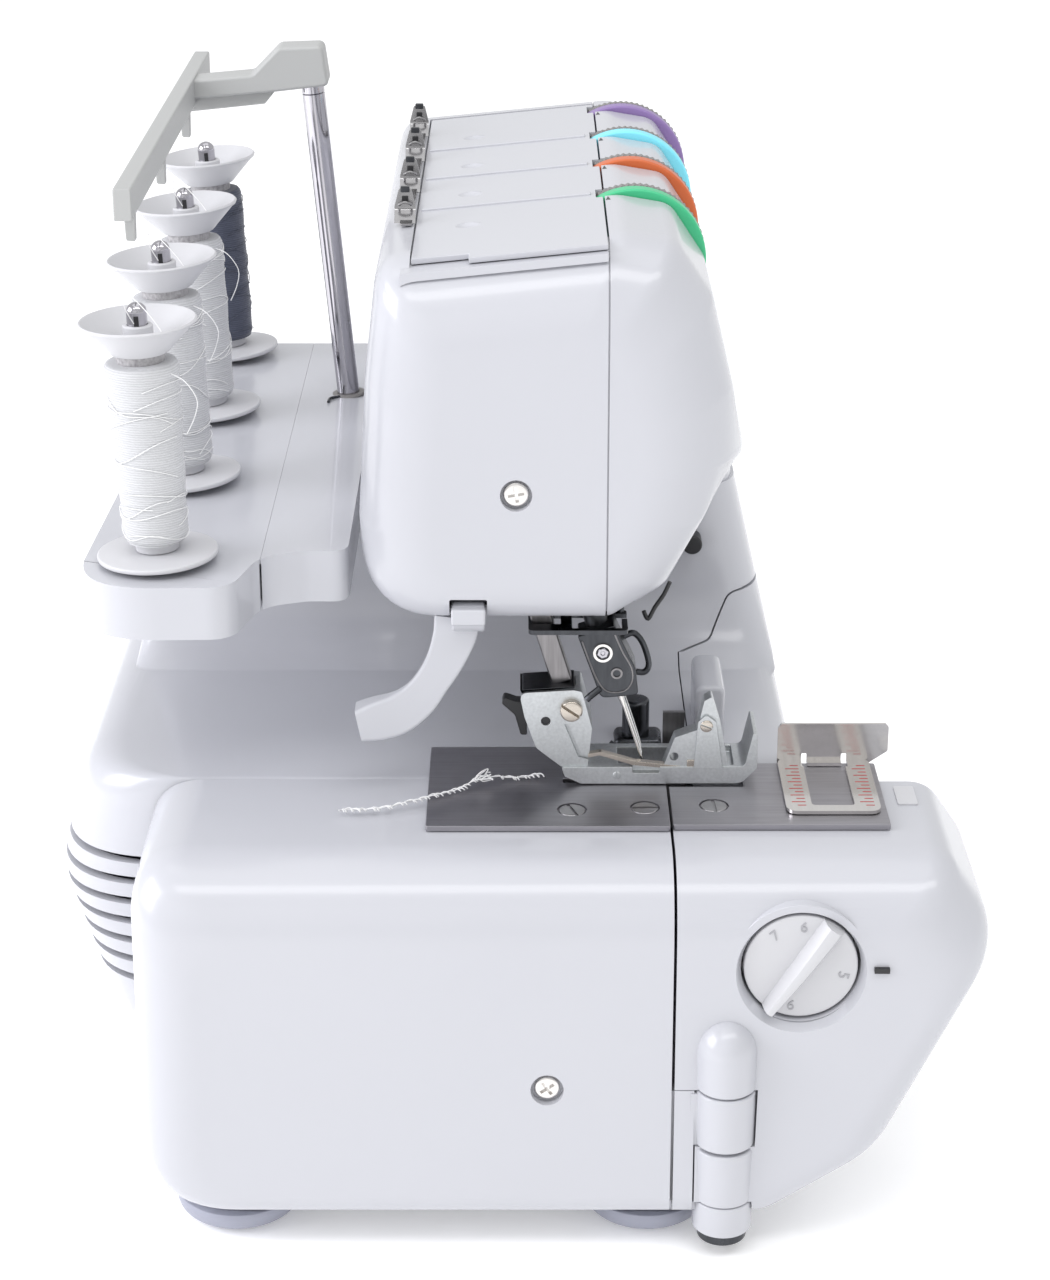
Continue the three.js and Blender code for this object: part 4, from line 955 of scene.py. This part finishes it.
def build_presser_details():
    left = FOOT_LEFT
    top = along_x([(-5.8, 158.8, 1), (-22.4, 160.1, 0.4), (-22.3, 160.7, 0.3), (-5.4, 159.6, 1)],
                  left + 2.4, FOOT_RIGHT - 2.4)
    finish("presser_top_strip", top, "presser", DARK)
    spring = along_x([(-26.6, 138.6), (-30.5, 139.4, 2), (-41, 136.2, 6), (-57, 134.4, 2),
                      (-59.8, 134.6), (-59.8, 133.4), (-57, 133.2, 2), (-40.8, 134.8, 6),
                      (-30.2, 138.2, 2), (-26.6, 137.4)], left + 0.4, left + 2.8)
    finish("presser_spring_strip", bevelled(spring, 0.15, 2, 40), "presser", WARM_STEEL)
    hook = block(left + 0.2, -60.4, 133.2, left + 3.2, -57.4, 136.8)
    finish("presser_spring_end", bevelled(hook, 0.3, 2), "presser", WARM_STEEL)
    to_left = (-1, 0, 0)
    screw("presser_screw", (left - 1.2, -21.3, 153.6), to_left, 3.5, "presser", WARM_STEEL, 55, thick=3.2)
    # black disc in the bottom of the ankle's hole: painted shade inside the hole
    hole_shade = rod("x", 1.45, left + 1.75, left + 2.4, 0.1, 24, ANKLE_HOLE)
    finish("presser_ankle_hole_shade", hole_shade, "presser", BLACK)
    screw("sole_rivet", (left - 0.12, -35.6, 131.6), to_left, 1.3, "presser", CAST, 0, thick=0.8)
    screw("tower_screw", (left - 1.0, -63.2, 148.6), to_left, 2.0, "presser", WARM_STEEL, 70)
    lever = along_x([(-7.4, 153.6, 0.6), (-4.2, 153.8, 1.6), (-0.4, 155.2, 1.0), (0.3, 153.0, 1.0),
                     (-3.8, 149.2, 3), (-5.6, 142.4, 0.8), (-7.6, 142.4, 0.5)], -100.4, -95.6)
    finish("foot_release_horn", bevelled(lever, 0.5, 3, 50), "foot_release", BLACK, "foot_release")


def on_needle_bar(name, obj, look, node=None):
    finish(name, leaned(obj, NEEDLE, NEEDLE_LEAN), "needle_bar", look, node)


def build_needle_clamp():
    face = -7.1                  # the clamp's left face
    clamp = along_x([(-5.6, 25.4, 1.5), (5.8, 28, 2.4), (6.4, 50, 0.8), (-5.4, 50, 0.8),
                     (-7.4, 34, 4)], -7, 4)
    parts = gathered(rod("z", 3.6, 26, 92, 0.5, 32), bevelled(clamp, 0.5, 3, 40))
    on_needle_bar("needle_clamp", parts, DARK, "needle_bar")
    ring = turned([(3.0, -0.3), (3.0, 0.7), (2.2, 0.7), (2.2, -0.3)], 40, True)
    on_needle_bar("clamp_ring", facing(ring, -1, (face, 0.6, 42.5)), POLISHED)
    hub = turned(rounded_profile([(0, -1), (1.9, -1), (1.9, 0.9, 0.5), (0.8, 0.9, 0.2), (0.6, 0.4),
                                  (0, 0.4)]), 6)
    on_needle_bar("clamp_screw", facing(hub, -1, (face, 0.6, 42.5)), CHROME)
    # lighter steel ring on the dark clamp face: painted highlight round a hole's rim, no hole is cut
    rim = turned([(1.8, -0.2), (1.8, 0.35), (1.2, 0.35), (1.2, -0.2)], 32, True)
    on_needle_bar("clamp_hole_rim_highlight", facing(rim, -1, (face, -1.4, 34.6)), BAR_STEEL)
    # lighter steel line traced just inside the clamp face's outline: painted highlight along its edges
    edge = [(5.6, 48), (5.2, 36), (3.4, 30), (-1.5, 28.2), (-5, 30.4), (-6.2, 35), (-5.2, 41), (-4.6, 48)]
    on_needle_bar("clamp_edge_highlight", tube(smooth_path([(face, y, z) for y, z in edge]), 0.28, 6), BAR_STEEL)
    lever = tube(smooth_path([(-6.8, 5.2, 31.1), (-8, 8.2, 30.3), (-8.2, 10, 29.5)]), 1.1, 10)
    on_needle_bar("clamp_thread_lever", lever, DARK)
    loop = tube(smooth_path([(2, -6, 42), (2.4, -9.5, 42), (2.4, -11.2, 38), (2.4, -11, 31), (2.2, -9, 28.6),
                             (2, -6.5, 29.5)]), 1.0, 10)
    on_needle_bar("needle_thread_loop", loop, DARK)


def build_needles():
    profile = [(0, 0), (0.28, 2), (0.45, 5), (0.45, 22), (0.95, 25.4), (0.95, 36), (0, 36)]
    for name, x in NEEDLE_OFFSETS.items():
        needle = cut(moved(turned(profile, 20), at=(x, 0, 0)), block(x - 0.14, -2, 4.4, x + 0.14, 2, 5.6))
        on_needle_bar(f"{name}_ground", needle, POLISHED, name)
        strand = [(x, -0.9, 26), (x + 0.2, -0.9, 15), (x - 0.1, -0.75, 8), (x, -0.45, 5.2), (x, 0.2, 4.9)]
        on_needle_bar(f"{name}_thread", tube(smooth_path(strand), 0.16, 6), THREAD_PLAIN)


def build_under_head():
    plate = along_z(rectangle(-107.5, -38.5, -90, -8, 2), 179, 180.5)
    plate = cut(plate, block(-105.5, -36.8, 170, -93.5, -21.4, 190), block(-102, -18, 170, -94, -9.4, 190),
                block(-97.6, -45, 170, -93.6, -30, 190))
    posts = [rod("z", 1.2, 180.2, 191, 0.2, 20, (-91.8, y)) for y in (-36.6, -9.6)]
    finish("head_underplate", joined(bevelled(plate, 0.3, 2), *posts), "machine", DARK)
    hook = [(-44, 179.2), (-45.4, 176.6), (-47.5, 180.5), (-50.2, 184.8), (-52, 189)]
    hook = tube(smooth_path([(-88, y, z) for y, z in hook]), 0.7)
    finish("lower_thread_hook", hook, "machine", BLACK)
    finish("tower_thread_eye", rod("x", 3.4, 1, 9, 0.8, 32, (-64.5, 168)), "machine", BLACK)


def build_lifter():
    hub = joined(rod("y", 4.6, 5.2, 15, 0.8, 40, (LIFTER_X, LIFTER_Z)),
                 bevelled(block(-118.9, 4.9, 186.4, -113, 15.3, 191.6), 0.8, 3))
    # (y, z, half width) down the blade
    route = [(13.5, 186.5, 7.0), (14.5, 180, 6.6), (17.5, 172, 5.8), (21.5, 165, 5.4), (26, 159, 6.0),
             (32, 154.6, 6.6), (38.5, 152.6, 6.4), (44.2, 151.4, 5.2)]
    path = smooth_path([(-111, y, z) for y, z, _ in route])
    halves = smooth_path([(half, 0, 0) for _, _, half in route])
    rings = []
    for i, point in enumerate(path):
        across = Vector((1, 0, 0)).cross(heading(path, i)).normalized()
        flare = max(0.0, (point.y - 24) / 20)
        left, right, half = 1.5 + 2.4 * flare, 1.5 + 3.6 * flare, halves[i].x
        rings.append([point + Vector((dx, 0, 0)) + across * dy for dx, dy in
                      rectangle(-left, -half, right, half, min(1.4, left * 0.7), 4)])
    web = block(-114, 7, 183.2, -109, 14.4, 187.4)
    finish("lifter_lever", joined(hub, loft(rings), web), "lifter", WHITE, "presser_lifter", 45)


# ---------------------------------------------------------------- spools, deck and antenna
def on_spool(obj, i):
    return leaned(obj, (SPOOL_X[i], SPOOL_Y, DECK_TOP), SPOOL_LEAN[i])


def build_deck():
    """Deck and shelf are shaped as one body and parted, so their tops run into each other."""
    right = RIGHT_X + 3
    left = SPOOL_X[0]
    sheet = outline([(left - 23, 80, 10), (left + 3, 73.5, 14), (-101, 60, 10), (-101, 47, 6), (right, 47),
                     (right, 118, 10), (left, 126, 20), (left - 24, 125, 24)], 12)
    whole = bevelled(along_z(sheet, DECK_BOTTOM, DECK_TOP), 2.4, 5, 50)
    whole = cut(whole, block(-110, 72.75, DECK_BOTTOM - 1, -100.9, 73.3, DECK_TOP - 1.6),
                leaned(rod("z", POLE_R + 1.5, -30, 20, 0.1, 32), (POLE_X, POLE_Y, DECK_TOP), POLE_LEAN))
    shelf = cut(copy_of(whole), block(-200, 72.92, 100, 200, 200, 300))
    deck = cut(whole, block(-200, 0, 100, 200, 73, 300),
               *[on_spool(rod("z", 3.4, -12, 12, 0.1, 24), i) for i in range(len(SPOOL_X))])
    finish("deck_shell", deck, "machine", WHITE, "spool_deck")
    finish("shelf_shell", shelf, "machine", WHITE, "deck_shelf")


def thread_cone(i):
    """Wound thread as a ring: its surface ripples with the turns and rounds off at both ends."""
    rows, low, long = 150, 7.4, 55
    profile = [(3.4, 7.2), (8.8, 7.2)]
    for k in range(rows + 1):
        s = k / rows
        r = 9.5 + 1.65 * s + 0.07 * math.sin(s * 2 * math.pi * 50) + 0.14 * math.sin(s * 21 + i)
        edge = min(s, 1 - s) * rows / 6
        if edge < 1:
            r -= 0.9 * (1 - edge) ** 2
        profile.append((r, low + long * s))
    profile += [(9.6, 62.5), (7.4, 62.65), (3.4, 62.65)]
    return turned(profile, 72, True)


def crossing_strand():
    """One thread that crosses the others at random on the cone's surface."""
    z0 = random.uniform(10, 58)
    z1 = min(59, max(9, z0 + random.uniform(-16, 16)))
    start, sweep = random.uniform(0, 6.28), random.uniform(2.2, 5.5)
    path = []
    for m in range(40):
        s = m / 39
        z = z0 + (z1 - z0) * s + 1.2 * math.sin(3 * math.pi * s)
        r = 9.8 + 1.65 * (z - 7.4) / 55
        path.append((r * math.cos(start + sweep * s), r * math.sin(start + sweep * s), z))
    return tube(path, 0.14, 6)


def build_spool(i):
    top, bend = 77.4, 3.05       # where the pin's rounded end starts, and its radius
    disc = rounded_profile([(0, 0.2), (18.2, 1.9, 0.6), (18.2, 3.4, 0.8), (9, 3.8), (8, 3.9), (0, 3.9)])
    pin = [(0, -10), (2.6, -10), (2.6, 70), (bend, 70.4), (bend, top)] + [
        (bend * math.cos(a), top + 2.8 * math.sin(a)) for a in (math.pi / 2 * k / 8 for k in range(1, 9))]
    dish = [(3.2, 65.5), (8.8, 65.5), (9.6, 66.3), (10.4, 67.2), (16.4, 73.4), (17.2, 73.9), (17.5, 74.6),
            (17.0, 75.1), (16.3, 74.9), (9.2, 68.6), (4.5, 68.4), (4.5, 73.2), (4.1, 73.6), (3.2, 73.6)]
    felt = [(3.2, 62.7), (7.2, 62.7), (7.2, 65.4), (3.2, 65.4)]
    core = [(3.1, 4.2), (6.5, 4.2), (6.5, 8.5), (3.1, 8.5)]
    wisp = [(-3.4, 0.5, 74.6), (-4.6, 2.6, 80), (-4.2, 2.2, 84), (-5.4, -1, 82), (-8.6, -6, 77),
            (-11, -9.5, 72)]
    loose = [(-6, -9.4, 60), (-8, -13.6, 58), (-6.5, -16.4, 52), (-4, -15, 46), (-4.6, -12.4, 41)]
    spool, cap, dark = f"spool_{i + 1}", f"cap_{i + 1}", i == 3

    def piece(name, obj, body, look, node=None, sharp=35):
        finish(f"{name}_{i + 1}", on_spool(obj, i), body, look, node and f"{node}_{i + 1}", sharp)

    piece("spool_disc", turned(disc, 72), "machine", WHITE_SATIN, "spool_holder")
    piece("spool_pin", turned(pin, 32), "machine", CHROME)
    # black sliver on the pin where its slot is: painted shade, no slot is cut
    piece("spool_pin_slot_shade", block(-3.3, -0.9, 71.6, -2.6, 0.5, 76.6), "machine", BLACK)
    piece("spool_cap_dish", turned(dish, 72, True), cap, WHITE_SATIN, "spool_cap", 40)
    piece("spool_cap_felt", turned(felt, 48, True), spool, FELT)
    piece("spool_core", turned(core, 48, True), spool, WHITE_SATIN)
    piece("thread_cone", thread_cone(i), spool, THREAD_DARK if dark else THREAD, "thread_spool", 60)
    strands = gathered(*[crossing_strand() for _ in range(16)])
    piece("thread_cone_strands", strands, spool, THREAD_DARK if dark else THREAD_PLAIN)
    if not dark:
        piece("thread_wisp", tube(smooth_path(wisp, 8), 0.16, 6), cap, THREAD_PLAIN)
        piece("thread_loose", tube(smooth_path(loose, 8), 0.16, 6), spool, THREAD_PLAIN)


def on_pole(obj):
    return leaned(obj, (POLE_X, POLE_Y, DECK_TOP), POLE_LEAN)


def build_antenna():
    rim, stop = POLE_R - 0.3, 108.1
    outer = [(2.9, -14), (rim, -14), (POLE_R, -13.7), (POLE_R, stop - 0.3), (rim, stop), (2.9, stop)]
    finish("antenna_tube", on_pole(turned(outer, 48, True)), "machine", CHROME, "antenna_pole")
    collar = turned([(4.0, -0.1), (6.2, -0.1), (5.8, 0.5), (4.0, 0.6)], 40, True)
    finish("antenna_grommet", on_pole(collar), "machine", KNURL_GREY)
    wire = smooth_path([(POLE_X - 5, POLE_Y + 3, 204.3), (POLE_X - 8, POLE_Y + 6, 204.6),
                        (POLE_X - 12, POLE_Y + 6.5, 204.5)])
    finish("antenna_base_wire", tube(wire, 0.5), "machine", DARK)
    ring = turned([(2.4, 108.3), (POLE_R, 108.3), (POLE_R, 112), (2.4, 112)], 48, True)
    inner = gathered(rod("z", 2.55, -10, 116, 0.2, 32), ring)
    finish("antenna_inner_tube", on_pole(inner), "antenna", CHROME)
    link = along_x([(-6, 111, 2), (-5.4, 124.6, 2.4), (9.6, 125.4, 3), (19.6, 117, 3), (43, 117),
                    (43, 110.5), (12.4, 110.5)], -6.5, 6.5)
    rib = along_x([(11, 112), (16.8, 106.2, 1), (43, 105.8), (43, 112)], -3, 3)
    bar = bevelled(along_x(rectangle(105.7, 308.4, 111, 317.8, 0.6), -111, 105), 0.6, 3, 45)
    finger = [(106, 309), (109.3, 309), (109, 300.6, 0.8), (106.2, 300.4, 0.6)]
    fingers = [bevelled(along_x(finger, x - 1.6, x + 1.6), 0.4, 2, 45) for x in (-101, -28, 42, 100)]
    arm = gathered(on_pole(bevelled(link, 1.1, 4, 45)), on_pole(bevelled(rib, 0.5, 2, 45)), bar, *fingers)
    finish("antenna_guide_arm", arm, "antenna", GREY, "antenna_arm")


# ---------------------------------------------------------------- sewn thread chain
CHAIN_LOW = PLATE_TOP + 1.1
# the route of the CAD chain, from the presser foot to its free end
CHAIN_ROUTE = [(-103, -12, CHAIN_LOW + 0.6), (-104, -4, CHAIN_LOW), (-107, 6, CHAIN_LOW + 1.6),
               (-112, 13, CHAIN_LOW), (-117, 21, CHAIN_LOW), (-120.5, 29, CHAIN_LOW - 0.6),
               (-124, 38, CHAIN_LOW - 1.1), (-125, 49, CHAIN_LOW - 1.1)]


def looped_thread(spine, s):
    """One of the three threads, numbered s, that loop round each other along the spine."""
    path = []
    run = 0.0
    for i, point in enumerate(spine):
        if i:
            run += (point - spine[i - 1]).length
        along = heading(spine, i)
        side = Vector((0, 0, 1)).cross(along).normalized()
        phase = run * 2 * math.pi / (3.9 + 0.5 * s) + s * 2
        wide = 0.85 + 0.25 * math.sin(run * 0.7 + s)
        path.append(point + side * wide * math.sin(phase) + along * 1.1 * math.cos(phase + 0.4 * s)
                    + along.cross(side) * (0.35 * math.sin(2 * phase + s)))
    return path


def build_chain():
    """Three threads looped round each other along the chain's route, with a tangle half way."""
    spine = smooth_path(CHAIN_ROUTE, 30)
    paths = [looped_thread(spine, s) for s in range(3)]
    knot = Vector(CHAIN_ROUTE[2])
    for _ in range(2):
        tangle = []
        for _ in range(9):
            x, y = random.uniform(-2.2, 2.2), random.uniform(-3.4, 3.4)
            tangle.append(knot + Vector((x, y, random.uniform(-0.6, 2.4))))
        paths.append(smooth_path(tangle, 8))
    strands = gathered(*[tube(path, 0.19, 6) for path in paths])
    piece = finish("sewn_thread_chain", strands, "machine", THREAD_PLAIN, "thread_chain", 80)


# ---------------------------------------------------------------- right end
def build_handwheel():
    flutes, ring = 18, 38.6
    profile = rounded_profile([(0, 0), (32, 0, 2), (36.5, 2.5, 2), (37.4, 10, 4), (35.5, 17, 3),
                               (30, 20.4, 2), (24, 22, 3), (18, 25.6, 2), (0, 25.7)], 6)
    angles = [2 * math.pi * k / flutes for k in range(flutes)]
    cutters = [rod("z", 2.4, -1, 15, 1.2, 20, (ring * math.cos(a), ring * math.sin(a))) for a in angles]
    wheel = facing(cut(turned(profile, 96), *cutters), 1, (RIGHT_X + 2.3, SHAFT_Y, SHAFT_Z))
    finish("handwheel_fluted", wheel, "handwheel", WHITE, "handwheel")


def build_right_dial(name, node, z, radius):
    disc = rod("x", radius, RIGHT_X + 0.3, RIGHT_X + 8, 0.9, 64)
    grip = along_x(rectangle(-radius + 1, -2.2, radius - 1, 2.2, 1.5), RIGHT_X + 6, RIGHT_X + 14)
    knob = moved(joined(disc, bevelled(grip, 0.8, 4, 50)), at=(0, -52, z))
    finish(f"{name}_knob", knob, f"{name}_dial", WHITE_SATIN, node)


# ---------------------------------------------------------------- CAD nodes that keep their shape
def dress_cad_nodes():
    looks = {"upper_looper": DARK, "lower_looper": DARK, "upper_knife": BAR_STEEL, "feed_dog": BAR_STEEL,
             "main_shaft": POLISHED, "motor": DARK, "motor_pulley": POLISHED, "drive_belt": RUBBER_BLACK,
             "power_switch": BLACK, "power_inlet": BLACK}
    for node, look in looks.items():
        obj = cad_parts[node]
        obj.data.materials.clear()
        obj.data.materials.append(look)
        step = obj.modifiers.new("edges", "BEVEL")
        step.width = 0.3 * MM
        step.segments = 2
        step.limit_method = "ANGLE"
        step.angle_limit = math.radians(40)


def build_looper_guide():
    post = rod("z", 4.4, 117, 140, 1.2, 36, (-66, -43))
    mass = bevelled(block(-72, -51.5, 117, -60, -36, 128), 2.0, 3)
    finish("upper_looper_guide", joined(post, mass), "machine", DARK)


def build_cover_screws():
    to_left = (-1, 0, 0)
    screw("base_screw", (-170.4, *BASE_SCREW), to_left, 3.9, "machine", POLISHED, 35, True, 1.8)
    screw("head_screw", (-114.7, *HEAD_SCREW), to_left, 3.9, "machine", POLISHED, 10, True, 1.9)


# ---------------------------------------------------------------- camera, floor and lights
CAMERA_TILT, CAMERA_LENS = 22.24, 78.19          # degrees below level, mm


def build_camera():
    camera = bpy.data.cameras.new("camera")
    camera.sensor_fit = "VERTICAL"
    camera.sensor_height = 36
    camera.lens = CAMERA_LENS
    camera.shift_x = 0.0012
    camera.clip_end = 50
    eye = in_scene("camera", camera)
    eye.location = (-0.880, -0.0065, 0.499)
    eye.rotation_euler = (math.radians(90 - CAMERA_TILT), 0, math.radians(-90))
    bpy.context.scene.camera = eye


def build_floor():
    floor = bpy.data.meshes.new("floor")
    floor.from_pydata([(-6, -6, 0), (9, -6, 0), (9, 6, 0), (-6, 6, 0)], [], [(0, 1, 2, 3)])
    floor.materials.append(material("floor", (0.97, 0.97, 0.97), 0.9, Emission_Color=(1, 1, 1, 1),
                                    Emission_Strength=0.2))
    in_scene("floor", floor)


def panel(name, at, aim, size, power, colour=(1, 1, 1)):
    """Rectangular lamp at one point, facing another."""
    light = bpy.data.lights.new(name, "AREA")
    light.shape = "RECTANGLE"
    light.size, light.size_y = size
    light.energy = power
    light.color = colour
    lamp = in_scene(name, light)
    lamp.location = at
    lamp.rotation_euler = (Vector(aim) - Vector(at)).to_track_quat("-Z", "Y").to_euler()


def build_lights():
    world = bpy.data.worlds.new("studio")
    world.use_nodes = True
    sky = world.node_tree.nodes["Background"]
    sky.inputs["Color"].default_value = (0.985, 0.99, 1.0, 1)
    sky.inputs["Strength"].default_value = 0.82
    bpy.context.scene.world = world
    middle, cool = (0, 0, 0.15), (0.95, 0.95, 1.0)
    panel("key", (-0.8, -0.15, 1.5), middle, (1.8, 0.4), 8)
    panel("front", (-1.7, 0.4, 0.75), middle, (1.2, 0.8), 0.8)
    panel("fill", (-0.35, 1.45, 0.8), (0, 0, 0.12), (1.2, 0.9), 20, cool)
    panel("top", (0.2, 0.1, 1.8), middle, (1.4, 1.4), 4)
    bpy.context.scene.view_settings.view_transform = "Standard"


build_camera()
build_floor()
build_lights()
build_chain()
build_arm_covers()
build_width_dial()
build_casing()
build_tray_and_feet()
build_head()
build_channel_lid()
build_tension_dials()
build_thread_guides()
build_plates()
build_seam_guide()
build_presser_bar()
build_presser_sole()
build_presser_ankle()
build_presser_details()
build_needle_clamp()
build_needles()
build_under_head()
build_lifter()
build_deck()
for spool_index in range(len(SPOOL_X)):
    build_spool(spool_index)
build_antenna()
build_handwheel()
build_right_dial("stitch", "stitch_length_dial", 64, 15)
build_right_dial("feed", "differential_feed_dial", 106, 12)
build_looper_guide()
dress_cad_nodes()
build_cover_screws()
